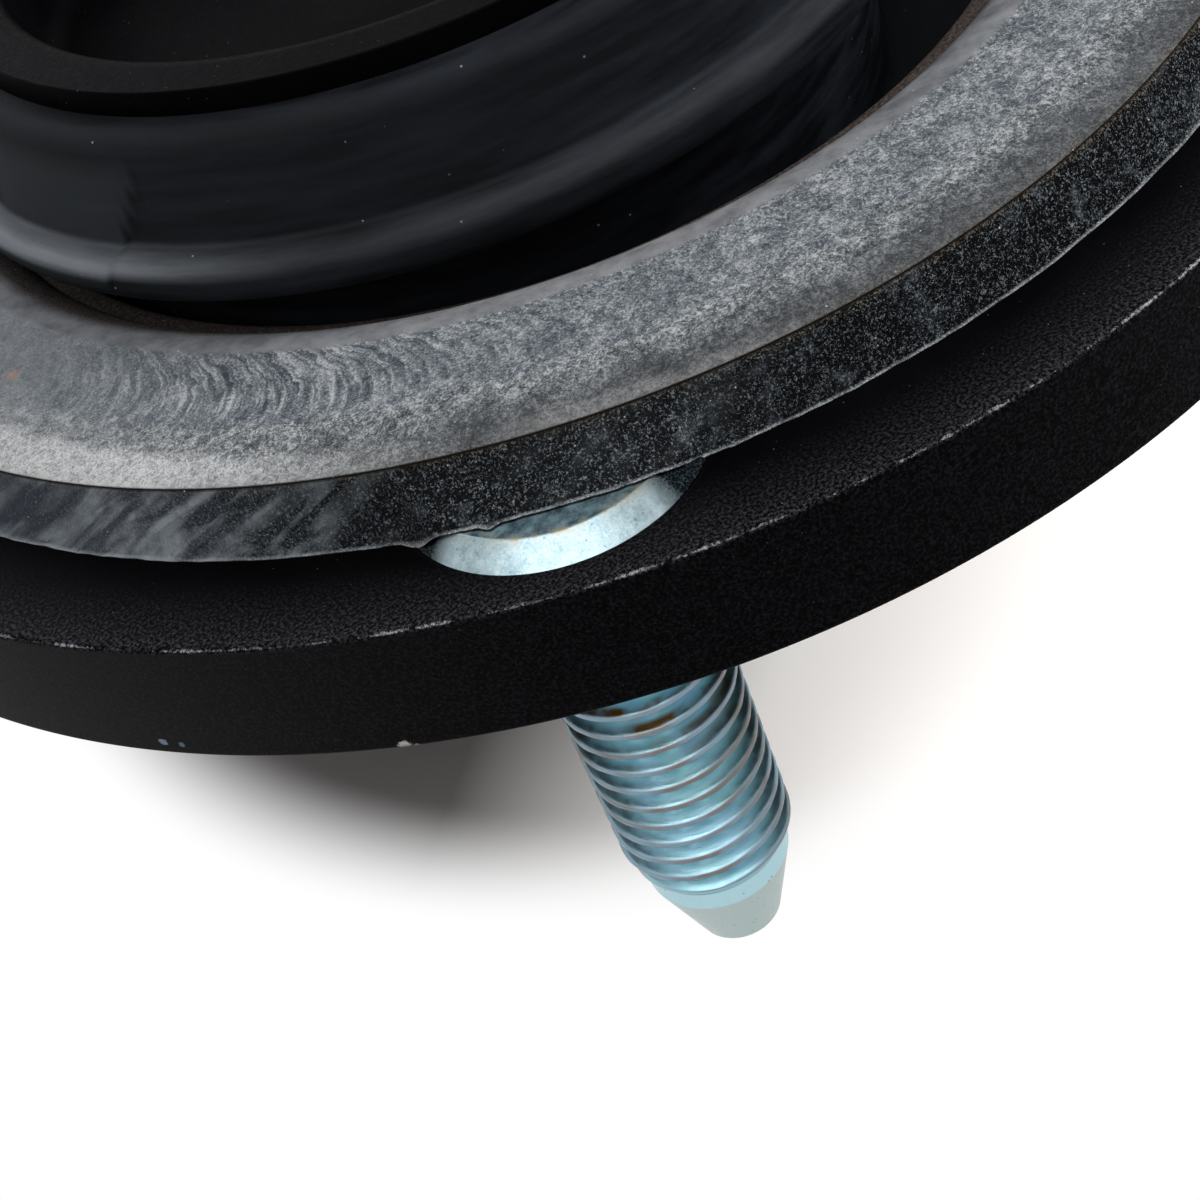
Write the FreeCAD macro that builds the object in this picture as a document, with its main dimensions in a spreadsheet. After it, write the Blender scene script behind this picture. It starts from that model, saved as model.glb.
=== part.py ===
import FreeCAD, Part
import os
from types import SimpleNamespace

import Sketcher

# Strut top mount for a coil-over strut, spring side up, in millimetres.
# Origin: centre of the stud circle on the face that bolts to the car body; +Z points at the spring.
# One stud stands on +X, and the bush and its core sit off centre towards -X.

SIZES = [
    # Mounting plate
    ("plate_radius", 55.0, "outer radius of the plate"),
    ("plate_thickness", 8.0, "plate thickness"),
    ("plate_edge", 0.35, "broken corner on both rims of the plate"),
    # Press-in studs
    ("stud_count", 3, "number of studs"),
    ("stud_margin", 10.0, "from the plate's rim in to the stud circle"),
    ("thread_radius", 5.0, "M10 thread, outer radius"),
    ("stud_reach", 29.0, "stud length below the plate"),
    ("thread_end", 20.8, "end of the thread below the plate"),
    ("thread_runout", 1.2, "cone between thread and pilot"),
    ("pilot_radius", 4.25, "lead-in pilot, radius"),
    ("pilot_length", 1.3, "straight part of the pilot"),
    ("tip_radius", 2.5, "radius of the stud's end face"),
    ("tip_bevel", 0.5, "bevel of the stud's end"),
    ("knurl_radius", 5.4, "splined shank, radius over the splines"),
    ("knurl_depth", 0.3, "depth of the spline grooves"),
    ("knurl_count", 20, "number of splines"),
    ("undercut_radius", 4.5, "undercut between splines and thread, radius"),
    ("undercut_length", 0.8, "undercut above the body face, length"),
    ("head_radius", 8.2, "stud head, radius"),
    ("head_thickness", 3.0, "stud head, full thickness"),
    ("head_proud", 1.2, "how far the head stands above the plate"),
    ("head_bevel", 1.2, "width of the head's bevel"),
    ("head_bevel_height", 1.0, "height of the head's bevel"),
    ("head_gap", 0.1, "room around the head in plate and rubber"),
    # Bush shell
    ("flange_land", 0.7, "plate left between the head seats and the shell's flange"),
    ("shell_flange", 1.3, "width of the flange outside the plate's bore"),
    ("shell_sheet", 1.5, "sheet thickness of the shell"),
    ("shell_rim_bend", 0.8, "bend radius under the flange"),
    ("shell_depth", 12.0, "depth of the shell below the body face"),
    ("neck_step", 0.5, "how far the shell is necked in where it centres in the car body"),
    ("neck_start", 0.5, "from the body face down to the start of the neck"),
    ("shell_bend", 1.5, "inner bend radius at the bottom"),
    # Spring seat ring
    ("ring_ledge", 6.2, "plate left bare outside the ring"),
    ("ring_draft", 1.4, "how far the wall leans in up to the parting line"),
    ("ring_parting_height", 3.5, "height of the parting line above the plate"),
    ("ring_shoulder", 3.2, "width of the sloping shoulder"),
    ("ring_height", 4.2, "height of the flat seat above the plate"),
    ("ring_fall", 4.0, "width of the rounded fall to the groove"),
    ("ring_lip_height", 2.0, "height of the ring's inner edge above the plate"),
    # Bush rubber
    ("hub_offset", 4.0, "how far the core sits off the stud circle's centre"),
    ("skin", 0.8, "rubber on the shell's wall"),
    ("rim_height", 1.8, "height of the rubber rim above the plate"),
    ("rim_round", 0.8, "rounding of the rim's inner edge"),
    ("web_top", 1.0, "depth of the groove's floor below the body face"),
    ("web_round", 3.0, "rounding of the groove's floor at the skin"),
    ("groove_width", 6.4, "mean width of the groove round the hub"),
    ("bead_overhang", 4.2, "from the hub's neck out to the bead's centre line"),
    ("bead_height", 6.2, "height of the bead's centre line above the plate"),
    ("bead_round", 1.5, "radius of the bead's section"),
    ("bead_step", 0.2, "from the bead's centre line in to the hub's wall"),
    ("hub_draft", 0.8, "how far the hub's wall leans in"),
    ("hub_height", 14.0, "height of the hub above the plate"),
    ("hub_round", 1.2, "rounding of the hub's top edge"),
    # Core sleeve
    ("bore_radius", 6.1, "bore for the strut rod"),
    ("sleeve_radius", 11.0, "outer radius of the sleeve"),
    ("sleeve_rise", 6.5, "sleeve's spring end above the plate"),
    ("sleeve_edge", 0.5, "bevel of the bore's mouths"),
    ("spigot_radius", 9.0, "turned-down end that holds the washer"),
    # Core plate
    ("core_plate_cover", 3.0, "rubber outside the core plate"),
    ("core_plate_sheet", 3.0, "thickness of the core plate"),
    ("core_plate_slope", 6.0, "width of the core plate's rising edge"),
    ("core_plate_dish", 1.6, "rise of the core plate's edge"),
    ("core_plate_depth", 4.0, "from the sleeve's spring end down to the core plate"),
    # Bump stop cup
    ("cup_cover", 5.0, "rubber outside the cup"),
    ("cup_sheet", 1.5, "sheet thickness of the cup"),
    ("cup_bend", 1.5, "inner bend radius of the cup"),
    ("cup_hole_radius", 6.6, "hole for the rod"),
    ("cup_flange", 2.2, "width of the cup's flange on the hub"),
    # Rebound buffer and washer
    ("buffer_gap", 0.3, "room between buffer and sleeve"),
    ("buffer_width", 9.7, "rebound buffer, width of the rubber"),
    ("buffer_height", 6.0, "rebound buffer, height"),
    ("buffer_waist", 1.2, "depth of the buffer's waist"),
    ("washer_margin", 3.0, "from the buffer out to the washer's rim"),
    ("washer_overlap", 2.0, "how far the washer reaches under the shell's lip"),
    ("washer_sheet", 2.0, "rebound washer, thickness"),
    ("washer_edge", 2.5, "width of the washer's turned-down edge"),
    ("washer_drop", 1.0, "drop of the washer's edge"),
]


class Size(float):
    """A length that also carries its formula in the sheet's words."""

    def __new__(cls, value, formula):
        size = super().__new__(cls, value)
        size.formula = formula
        return size

    def joined(self, sign, other, value):
        return Size(value, f"({self.formula} {sign} {formula_of(other)})")

    def __add__(self, other):
        return self.joined("+", other, float(self) + float(other))

    def __sub__(self, other):
        return self.joined("-", other, float(self) - float(other))

    def __mul__(self, other):
        return self.joined("*", other, float(self) * float(other))

    def __truediv__(self, other):
        return self.joined("/", other, float(self) / float(other))

    def __neg__(self):
        return Size(-float(self), f"(0 - {self.formula})")


def formula_of(value):
    """The formula of a Size, or a plain number as text."""
    return value.formula if isinstance(value, Size) else repr(value)


def fill_sheet(doc):
    """Write the driving dimensions into the sheet and return all sizes by name."""
    sheet = doc.addObject("Spreadsheet::Sheet", "Sizes")
    sizes = {}
    for row, (alias, value, note) in enumerate(SIZES, start=1):
        sheet.set(f"A{row}", note)
        sheet.set(f"B{row}", str(value))
        sheet.setAlias(f"B{row}", alias)
        sizes[alias] = Size(value, f"Sizes.{alias}")
    doc.recompute()
    return add_derived_radii(sizes)


def add_derived_radii(sizes):
    """Radii that follow from the plate's rim, worked inwards, and from the sleeve, worked outwards."""
    s = SimpleNamespace(**sizes)
    pitch = s.plate_radius - s.stud_margin
    flange = pitch - s.head_radius - s.head_gap - s.flange_land
    shell = flange - s.shell_flange
    wall = shell - s.shell_sheet
    skin_face = wall - s.skin
    ring_base = s.plate_radius - s.ring_ledge
    ring_parting = ring_base - s.ring_draft
    neck = skin_face - s.groove_width
    bead = neck + s.bead_overhang
    hub = bead - s.bead_step
    core = neck - s.core_plate_cover
    cup = hub - s.cup_cover
    buffer = s.sleeve_radius + s.buffer_gap + s.buffer_width
    washer = buffer + s.washer_margin
    return SimpleNamespace(
        **sizes,
        pitch_radius=pitch,
        flange_radius=flange,
        shell_radius=shell,
        wall_radius=wall,
        skin_radius=skin_face,
        rim_radius=wall + s.shell_rim_bend,
        ring_base_radius=ring_base,
        ring_parting_radius=ring_parting,
        ring_shoulder_radius=ring_parting - s.ring_shoulder,
        ring_flat_radius=wall + s.shell_rim_bend + s.ring_fall,
        neck_radius=neck,
        bead_radius=bead,
        hub_radius=hub,
        hub_top_radius=hub - s.hub_draft,
        core_plate_radius=core,
        core_plate_flat=core - s.core_plate_slope,
        cup_radius=cup,
        cup_wall_radius=cup - s.cup_sheet,
        necked_radius=shell - s.neck_step,
        necked_wall=wall - s.neck_step,
        shell_mouth=washer - s.washer_overlap,
        washer_radius=washer,
        washer_flat=washer - s.washer_edge,
        buffer_radius=buffer,
    )


def new_body(doc, label, offset=None):
    """A sub-part; an offset sets it that far from the origin towards -X."""
    body = doc.addObject("PartDesign::Body", label)
    body.Label = label
    if offset is not None:
        body.setExpression("Placement.Base.x", (-offset).formula)
    return body


def new_sketch(body, name, plane, offset_x=None, offset_z=None):
    """A sketch on one of the body's own origin planes, moved along the plane or off it."""
    sketch = body.newObject("Sketcher::SketchObject", name)
    support = next(item for item in body.Origin.OriginFeatures if item.Role == plane)
    sketch.AttachmentSupport = [(support, "")]
    sketch.MapMode = "FlatFace"
    if offset_x is not None:
        sketch.setExpression("AttachmentOffset.Base.x", offset_x.formula)
    if offset_z is not None:
        sketch.setExpression("AttachmentOffset.Base.z", offset_z.formula)
    return sketch


def bind(sketch, constraint, value, name):
    """Add a sketch dimension and tie it to the sheet."""
    index = sketch.addConstraint(constraint)
    sketch.renameConstraint(index, name)
    if isinstance(value, Size):
        sketch.setExpression(f"Constraints.{name}", value.formula)


def arc_through(start, end, radius, side):
    """An anticlockwise arc; side +1 bulges to the right of the way from start to end, -1 to the left."""
    along = end - start
    half = along.Length / 2
    across = FreeCAD.Vector(along.y, -along.x, 0).normalize() * side
    rise = radius - (max(radius * radius - half * half, 0)) ** 0.5
    middle = start + along / 2 + across * rise
    return Part.Arc(start, middle, end) if side > 0 else Part.Arc(end, middle, start)


def draw_outline(sketch, corners):
    """A closed outline: a corner is x and y, and radius and side where an arc leaves it."""
    points = [FreeCAD.Vector(corner[0], corner[1], 0) for corner in corners]
    edges = []
    for index, corner in enumerate(corners):
        start = points[index]
        end = points[(index + 1) % len(points)]
        is_arc = len(corner) > 2
        shape = arc_through(start, end, corner[2], corner[3]) if is_arc else Part.LineSegment(start, end)
        edge = sketch.addGeometry(shape, False)
        drawn = sketch.Geometry[edge].StartPoint
        first = 1 if (drawn - start).Length < (drawn - end).Length else 2
        edges.append((edge, first, 3 - first))
    for index, corner in enumerate(corners):
        edge, first, last = edges[index]
        following = edges[(index + 1) % len(edges)]
        sketch.addConstraint(Sketcher.Constraint("Coincident", edge, last, following[0], following[1]))
        across = Sketcher.Constraint("DistanceX", -1, 1, edge, first, float(corner[0]))
        upward = Sketcher.Constraint("DistanceY", -1, 1, edge, first, float(corner[1]))
        bind(sketch, across, corner[0], f"x{index}")
        bind(sketch, upward, corner[1], f"y{index}")
        if len(corner) > 2:
            bend = Sketcher.Constraint("Radius", edge, float(corner[2]))
            bind(sketch, bend, corner[2], f"bend{index}")


def draw_circle(sketch, x, radius, name):
    """A circle centred on the sketch's X axis."""
    edge = sketch.addGeometry(Part.Circle(FreeCAD.Vector(x, 0, 0), FreeCAD.Vector(0, 0, 1), radius), False)
    sketch.addConstraint(Sketcher.Constraint("PointOnObject", edge, 3, -1))
    bind(sketch, Sketcher.Constraint("DistanceX", -1, 1, edge, 3, float(x)), x, f"{name}_x")
    bind(sketch, Sketcher.Constraint("Radius", edge, float(radius)), radius, f"{name}_radius")


def turn(body, name, corners, kind="Revolution", offset_x=None):
    """Turn an outline in the XZ plane about the vertical axis, adding or cutting."""
    sketch = new_sketch(body, f"{name}_outline", "XZ_Plane", offset_x=offset_x)
    draw_outline(sketch, corners)
    feature = body.newObject(f"PartDesign::{kind}", name)
    feature.Profile = sketch
    feature.ReferenceAxis = (sketch, ["V_Axis"])
    feature.Angle = 360
    return feature


def around_the_studs(body, name, feature, count):
    """Repeat a feature at every stud."""
    axis = next(item for item in body.Origin.OriginFeatures if item.Role == "Z_Axis")
    pattern = body.newObject("PartDesign::PolarPattern", name)
    pattern.Originals = [feature]
    pattern.Axis = (axis, [""])
    pattern.Angle = 360
    pattern.Occurrences = int(count)
    pattern.setExpression("Occurrences", formula_of(count))
    body.Tip = pattern
    return pattern


def mounting_plate(doc, s):
    """Thick steel disc with the bush's bore, its flange seat and a stepped hole for each stud."""
    body = new_body(doc, "mounting_plate")
    top = s.plate_thickness
    turn(body, "disc", [
        (s.shell_radius, 0),
        (s.plate_radius - s.plate_edge, 0),
        (s.plate_radius, s.plate_edge),
        (s.plate_radius, top - s.plate_edge),
        (s.plate_radius - s.plate_edge, top),
        (s.flange_radius, top),
        (s.flange_radius, top - s.shell_sheet),
        (s.shell_radius, top - s.shell_sheet),
    ])
    circle = new_sketch(body, "stud_hole_circle", "XY_Plane", offset_z=top)
    draw_circle(circle, s.pitch_radius, s.knurl_radius, "hole")
    hole = body.newObject("PartDesign::Pocket", "stud_hole")
    hole.Profile = circle
    hole.Type = "ThroughAll"
    around_the_studs(body, "stud_holes", hole, s.stud_count)
    circle = new_sketch(body, "head_seat_circle", "XY_Plane", offset_z=top)
    draw_circle(circle, s.pitch_radius, s.head_radius + s.head_gap, "seat")
    seat = body.newObject("PartDesign::Pocket", "head_seat")
    seat.Profile = circle
    seat.setExpression("Length", (s.head_thickness - s.head_proud).formula)
    around_the_studs(body, "head_seats", seat, s.stud_count)
    return body


def stud(doc, s, number):
    """Press-in stud: bevelled head, splined shank, thread as a plain rod, tapered pilot."""
    body = new_body(doc, f"stud_{number}")
    angle = f"({number - 1} * 360 deg / Sizes.stud_count)"
    body.setExpression("Placement.Base.x", f"{s.pitch_radius.formula} * cos{angle}")
    body.setExpression("Placement.Base.y", f"{s.pitch_radius.formula} * sin{angle}")
    head_top = s.plate_thickness + s.head_proud
    seat = head_top - s.head_thickness
    pilot_top = -(s.thread_end + s.thread_runout)
    turn(body, "turned_stud", [
        (0, head_top),
        (s.head_radius - s.head_bevel, head_top),
        (s.head_radius, head_top - s.head_bevel_height),
        (s.head_radius, seat),
        (s.knurl_radius, seat),
        (s.knurl_radius, s.undercut_length),
        (s.undercut_radius, s.undercut_length),
        (s.undercut_radius, 0),
        (s.thread_radius, 0),
        (s.thread_radius, -s.thread_end),
        (s.pilot_radius, pilot_top),
        (s.pilot_radius, pilot_top - s.pilot_length),
        (s.tip_radius, s.tip_bevel - s.stud_reach),
        (s.tip_radius - s.tip_bevel, -s.stud_reach),
        (0, -s.stud_reach),
    ])
    sketch = new_sketch(body, "spline_groove", "XY_Plane", offset_z=seat)
    draw_outline(sketch, [
        (s.knurl_radius - s.knurl_depth, 0),
        (s.knurl_radius + s.knurl_depth, -(s.knurl_depth * 2)),
        (s.knurl_radius + s.knurl_depth, s.knurl_depth * 2),
    ])
    groove = body.newObject("PartDesign::Pocket", "spline")
    groove.Profile = sketch
    groove.setExpression("Length", (seat - s.undercut_length).formula)
    around_the_studs(body, "splines", groove, s.knurl_count)
    return body


def bush_shell(doc, s):
    """Drawn steel cup, flange flush in the plate; the necked part below centres in the car body."""
    body = new_body(doc, "bush_shell")
    top = s.plate_thickness
    inner = s.wall_radius
    floor = s.shell_sheet - s.shell_depth
    outer_bend = s.shell_bend + s.shell_sheet
    neck_end = -(s.neck_start + s.neck_step)
    turn(body, "drawn_cup", [
        (s.flange_radius, top - s.shell_sheet),
        (s.flange_radius, top),
        (s.rim_radius, top, s.shell_rim_bend, 1),
        (inner, top - s.shell_rim_bend),
        (inner, -s.neck_start),
        (s.necked_wall, neck_end),
        (s.necked_wall, floor + s.shell_bend, s.shell_bend, -1),
        (s.necked_wall - s.shell_bend, floor),
        (s.shell_mouth, floor),
        (s.shell_mouth, -s.shell_depth),
        (s.necked_radius - outer_bend, -s.shell_depth, outer_bend, 1),
        (s.necked_radius, outer_bend - s.shell_depth),
        (s.necked_radius, neck_end),
        (s.shell_radius, -s.neck_start),
        (s.shell_radius, top - s.shell_sheet),
    ])
    return body


def spring_seat_ring(doc, s):
    """Moulded rubber ring on the plate: drafted wall, flat seat, rounded fall to the groove."""
    body = new_body(doc, "spring_seat_ring")
    base = s.plate_thickness
    fall = s.ring_height - s.ring_lip_height
    run = s.ring_fall
    turn(body, "moulded_ring", [
        (s.rim_radius, base),
        (s.ring_base_radius, base),
        (s.ring_parting_radius, base + s.ring_parting_height),
        (s.ring_shoulder_radius, base + s.ring_height),
        (s.ring_flat_radius, base + s.ring_height, (run * run + fall * fall) / (fall * 2), 1),
        (s.rim_radius, base + s.ring_lip_height),
    ])
    roof = base + s.head_proud + s.head_gap
    pocket = turn(body, "head_pocket", [
        (0, base - s.head_gap),
        (s.head_radius + s.head_gap, base - s.head_gap),
        (s.head_radius + s.head_gap, roof - s.head_bevel_height),
        (s.head_radius + s.head_gap - s.head_bevel, roof),
        (0, roof),
    ], kind="Groove", offset_x=s.pitch_radius)
    around_the_studs(body, "head_pockets", pocket, s.stud_count)
    return body


def bush_rubber(doc, s):
    """Rubber bonded between shell and core: rim, skin and web about the plate, hub off centre."""
    body = new_body(doc, "bush_rubber")
    top = s.plate_thickness
    wall = s.wall_radius
    inner = s.skin_radius
    floor = s.shell_sheet - s.shell_depth
    turn(body, "web_and_skin", [
        (0, -s.shell_depth),
        (s.shell_mouth, -s.shell_depth),
        (s.shell_mouth, floor),
        (s.necked_wall - s.shell_bend, floor, s.shell_bend, 1),
        (s.necked_wall, floor + s.shell_bend),
        (s.necked_wall, -(s.neck_start + s.neck_step)),
        (wall, -s.neck_start),
        (wall, top - s.shell_rim_bend, s.shell_rim_bend, -1),
        (s.rim_radius, top),
        (s.rim_radius, top + s.rim_height),
        (inner + s.rim_round, top + s.rim_height, s.rim_round, 1),
        (inner, top + s.rim_height - s.rim_round),
        (inner, s.web_round - s.web_top, s.web_round, -1),
        (inner - s.web_round, -s.web_top),
        (0, -s.web_top),
    ])
    bead = top + s.bead_height
    hub_top = top + s.hub_height
    turn(body, "hub", [
        (0, -(s.web_top + s.web_round)),
        (s.neck_radius, -(s.web_top + s.web_round)),
        (s.neck_radius, bead - s.bead_round),
        (s.bead_radius, bead - s.bead_round, s.bead_round, 1),
        (s.bead_radius + s.bead_round, bead, s.bead_round, 1),
        (s.bead_radius, bead + s.bead_round),
        (s.hub_radius, bead + s.bead_round),
        (s.hub_top_radius, hub_top - s.hub_round, s.hub_round, 1),
        (s.hub_top_radius - s.hub_round, hub_top),
        (0, hub_top),
    ], offset_x=-s.hub_offset)
    cup_floor = top + s.sleeve_rise
    turn(body, "core_hollow", [
        (0, -(s.shell_depth + s.buffer_gap)),
        (s.sleeve_radius, -(s.shell_depth + s.buffer_gap)),
        (s.sleeve_radius, core_plate_level(s)),
        (s.core_plate_flat, core_plate_level(s)),
        (s.core_plate_radius, core_plate_level(s) + s.core_plate_dish),
        (s.core_plate_radius, core_plate_level(s) + s.core_plate_dish + s.core_plate_sheet),
        (s.core_plate_flat, core_plate_level(s) + s.core_plate_sheet),
        (s.sleeve_radius, core_plate_level(s) + s.core_plate_sheet),
        (s.sleeve_radius, cup_floor),
        (s.cup_wall_radius - s.cup_bend, cup_floor, s.cup_bend + s.cup_sheet, 1),
        (s.cup_radius, cup_floor + s.cup_bend + s.cup_sheet),
        (s.cup_radius, hub_top + s.buffer_gap),
        (0, hub_top + s.buffer_gap),
    ], kind="Groove", offset_x=-s.hub_offset)
    return body


def core_plate_level(s):
    """Height of the core plate's underside at the sleeve."""
    return s.plate_thickness + s.sleeve_rise - s.core_plate_depth - s.core_plate_sheet


def core_plate(doc, s):
    """Dished steel disc inside the hub, welded round the sleeve."""
    body = new_body(doc, "core_plate", s.hub_offset)
    level = core_plate_level(s)
    turn(body, "dished_disc", [
        (s.sleeve_radius, level),
        (s.core_plate_flat, level),
        (s.core_plate_radius, level + s.core_plate_dish),
        (s.core_plate_radius, level + s.core_plate_dish + s.core_plate_sheet),
        (s.core_plate_flat, level + s.core_plate_sheet),
        (s.sleeve_radius, level + s.core_plate_sheet),
    ])
    return body


def core_sleeve(doc, s):
    """Turned steel sleeve that the strut rod is bolted through."""
    body = new_body(doc, "core_sleeve", s.hub_offset)
    top = s.plate_thickness + s.sleeve_rise
    washer_top = -(s.shell_depth + s.buffer_height)
    end = washer_top - s.washer_sheet
    turn(body, "turned_sleeve", [
        (s.bore_radius + s.sleeve_edge, top),
        (s.sleeve_radius, top),
        (s.sleeve_radius, washer_top),
        (s.spigot_radius, washer_top),
        (s.spigot_radius, end),
        (s.bore_radius + s.sleeve_edge, end),
        (s.bore_radius, end + s.sleeve_edge),
        (s.bore_radius, top - s.sleeve_edge),
    ])
    return body


def bump_stop_cup(doc, s):
    """Pressed steel cup in the hub: its floor rests on the sleeve, its flange on the hub."""
    body = new_body(doc, "bump_stop_cup", s.hub_offset)
    floor = s.plate_thickness + s.sleeve_rise
    rim = s.plate_thickness + s.hub_height
    inner = s.cup_wall_radius
    outer_bend = s.cup_bend + s.cup_sheet
    turn(body, "pressed_cup", [
        (s.cup_hole_radius, floor),
        (inner - s.cup_bend, floor, outer_bend, 1),
        (s.cup_radius, floor + outer_bend),
        (s.cup_radius, rim),
        (s.cup_radius + s.cup_flange, rim),
        (s.cup_radius + s.cup_flange, rim + s.cup_sheet),
        (s.cup_radius, rim + s.cup_sheet, s.cup_sheet, 1),
        (inner, rim),
        (inner, floor + outer_bend, s.cup_bend, -1),
        (inner - s.cup_bend, floor + s.cup_sheet),
        (s.cup_hole_radius, floor + s.cup_sheet),
    ])
    return body


def rebound_buffer(doc, s):
    """Waisted rubber ring between the shell's bottom and the washer."""
    body = new_body(doc, "rebound_buffer", s.hub_offset)
    top = -s.shell_depth
    bottom = top - s.buffer_height
    half = s.buffer_height / 2
    waist = (half * half + s.buffer_waist * s.buffer_waist) / (s.buffer_waist * 2)
    inner = s.sleeve_radius + s.buffer_gap
    turn(body, "moulded_buffer", [
        (inner, bottom),
        (s.buffer_radius, bottom, waist, -1),
        (s.buffer_radius, top),
        (inner, top),
    ])
    return body


def rebound_washer(doc, s):
    """Steel washer pressed on the sleeve's end, its edge turned away from the buffer."""
    body = new_body(doc, "rebound_washer", s.hub_offset)
    top = -(s.shell_depth + s.buffer_height)
    turn(body, "pressed_washer", [
        (s.spigot_radius, top),
        (s.washer_flat, top),
        (s.washer_radius, top - s.washer_drop),
        (s.washer_radius, top - s.washer_drop - s.washer_sheet),
        (s.washer_flat, top - s.washer_sheet),
        (s.spigot_radius, top - s.washer_sheet),
    ])
    return body


def check(doc, bodies):
    """Stop if a feature failed or a sub-part is not one valid solid."""
    for item in doc.Objects:
        if "Invalid" in item.State or "Error" in item.State:
            raise RuntimeError(f"{item.Name} failed: {item.State}")
    for body in bodies:
        shape = body.Shape
        if shape.isNull() or not shape.isValid() or len(shape.Solids) != 1:
            raise RuntimeError(f"{body.Label} is not one valid solid")


def build():
    doc = FreeCAD.newDocument("strut_top_mount")
    s = fill_sheet(doc)
    bodies = [mounting_plate(doc, s)]
    for number in range(1, int(s.stud_count) + 1):
        bodies.append(stud(doc, s, number))
    for make in (bush_shell, spring_seat_ring, bush_rubber, core_plate, core_sleeve,
                 bump_stop_cup, rebound_buffer, rebound_washer):
        bodies.append(make(doc, s))
    doc.recompute()
    check(doc, bodies)
    os.makedirs("parts", exist_ok=True)
    for body in bodies:
        body.Shape.exportStep(f"parts/{body.Label}.step")
        print(body.Label, round(body.Shape.Volume, 1), "mm3")


build()
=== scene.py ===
from math import cos, pi, radians, sin

import bpy
import numpy as np
from mathutils import Matrix, Vector


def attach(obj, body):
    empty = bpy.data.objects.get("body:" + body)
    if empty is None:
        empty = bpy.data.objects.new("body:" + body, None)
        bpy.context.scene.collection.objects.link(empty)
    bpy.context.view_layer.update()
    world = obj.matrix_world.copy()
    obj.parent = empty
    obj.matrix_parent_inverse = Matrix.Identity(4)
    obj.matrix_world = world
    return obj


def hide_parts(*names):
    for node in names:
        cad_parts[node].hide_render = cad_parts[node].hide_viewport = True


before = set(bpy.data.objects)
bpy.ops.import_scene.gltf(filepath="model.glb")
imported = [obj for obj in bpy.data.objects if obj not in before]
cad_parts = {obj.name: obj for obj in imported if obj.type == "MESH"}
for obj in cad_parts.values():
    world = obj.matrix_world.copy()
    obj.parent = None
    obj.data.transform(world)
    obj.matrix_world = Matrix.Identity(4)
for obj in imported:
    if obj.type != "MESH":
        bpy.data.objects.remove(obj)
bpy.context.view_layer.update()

MM = 0.001

# Camera: stands close over the rim by the third stud and looks down and inwards, a little rolled.
# The view is that of a long macro lens.
TURN = radians(-19.4)
RISE = radians(41.71)
ROLL = radians(-22.86)
AIM = Vector((-26.79, -49.27, 8.0)) * MM
DISTANCE = 109.56 * MM
LENS = 71.88
right = Vector((cos(TURN), sin(TURN), 0))
back = Vector((sin(TURN) * cos(RISE), -cos(TURN) * cos(RISE), sin(RISE)))
up = back.cross(right)
camera_data = bpy.data.cameras.new("close_camera")
camera_data.lens = LENS
camera_data.sensor_width = 36
camera_data.clip_start = 0.005
camera = bpy.data.objects.new("close_camera", camera_data)
camera.matrix_world = Matrix.Translation(AIM + back * DISTANCE) @ Matrix((
    (*(right * cos(ROLL) + up * sin(ROLL)),),
    (*(up * cos(ROLL) - right * sin(ROLL)),),
    (*back,),
)).transposed().to_4x4()
bpy.context.scene.collection.objects.link(camera)
bpy.context.scene.camera = camera
bpy.context.scene.view_settings.view_transform = "Standard"


# Table and studio light: the mount stands on its stud ends on a white sheet, under a broad soft lamp from
# the left front, a low box at the right and a weak card behind. The sheet is toned under the mount, where
# its shadow falls, lighter to the right. It turns plain white outwards and is clear from below.
STUD_REACH = 29.0
SHEET_HALF = 1500.0
SHEET_LEVEL = -(STUD_REACH + 0.02)
SHADE_CENTRE = (10.0, 8.0, SHEET_LEVEL)
SHADE_REACH = 47.5
WHITE_REACH = 57.0
RIGHTWARDS = (0.63, -0.77, 0)
DARK_UNTIL = -6.0
LIGHT_FROM = 14.0


def linear(code):
    """A colour written as sRGB hex, as linear RGBA."""
    parts = [int(code[i:i + 2], 16) / 255 for i in (1, 3, 5)]
    return (*(c / 12.92 if c <= 0.04045 else ((c + 0.055) / 1.055) ** 2.4 for c in parts), 1)


def add(tree, kind, inputs=None, stops=None, **settings):
    """Add a shader node. An input is a value, a colour in hex, another node's socket, or a node, for its
    first live output. stops are a colour ramp's places and colours."""
    node = tree.nodes.new("ShaderNode" + kind)
    for key, value in settings.items():
        setattr(node, key, value)
    for key, value in (inputs or {}).items():
        if isinstance(value, str):
            value = linear(value)
        if isinstance(value, bpy.types.Node):
            value = next(socket for socket in value.outputs if socket.enabled)
        if isinstance(value, bpy.types.NodeSocket):
            tree.links.new(value, node.inputs[key])
        else:
            node.inputs[key].default_value = value
    for index, (place, colour) in enumerate(stops or ()):
        stop = node.color_ramp.elements[index] if index < 2 else node.color_ramp.elements.new(place)
        stop.position = place
        stop.color = linear(colour)
    return node


def new_tree(owner):
    """An empty node tree for a material or the world."""
    owner.use_nodes = True
    owner.node_tree.nodes.clear()
    return owner.node_tree


def start_material(name, mark_names=()):
    """A material with an empty tree, the place on the object in mm, so that a pattern's scale is cells
    per mm, and the mesh's point marks by name."""
    material = bpy.data.materials.new(name)
    tree = new_tree(material)
    place = add(tree, "TexCoord").outputs["Object"]
    mm = add(tree, "VectorMath", {0: place, "Scale": 1000.0}, operation="SCALE")
    marks = {mark: add(tree, "Attribute", attribute_name=mark).outputs["Fac"] for mark in mark_names}
    return material, tree, mm, marks


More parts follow.
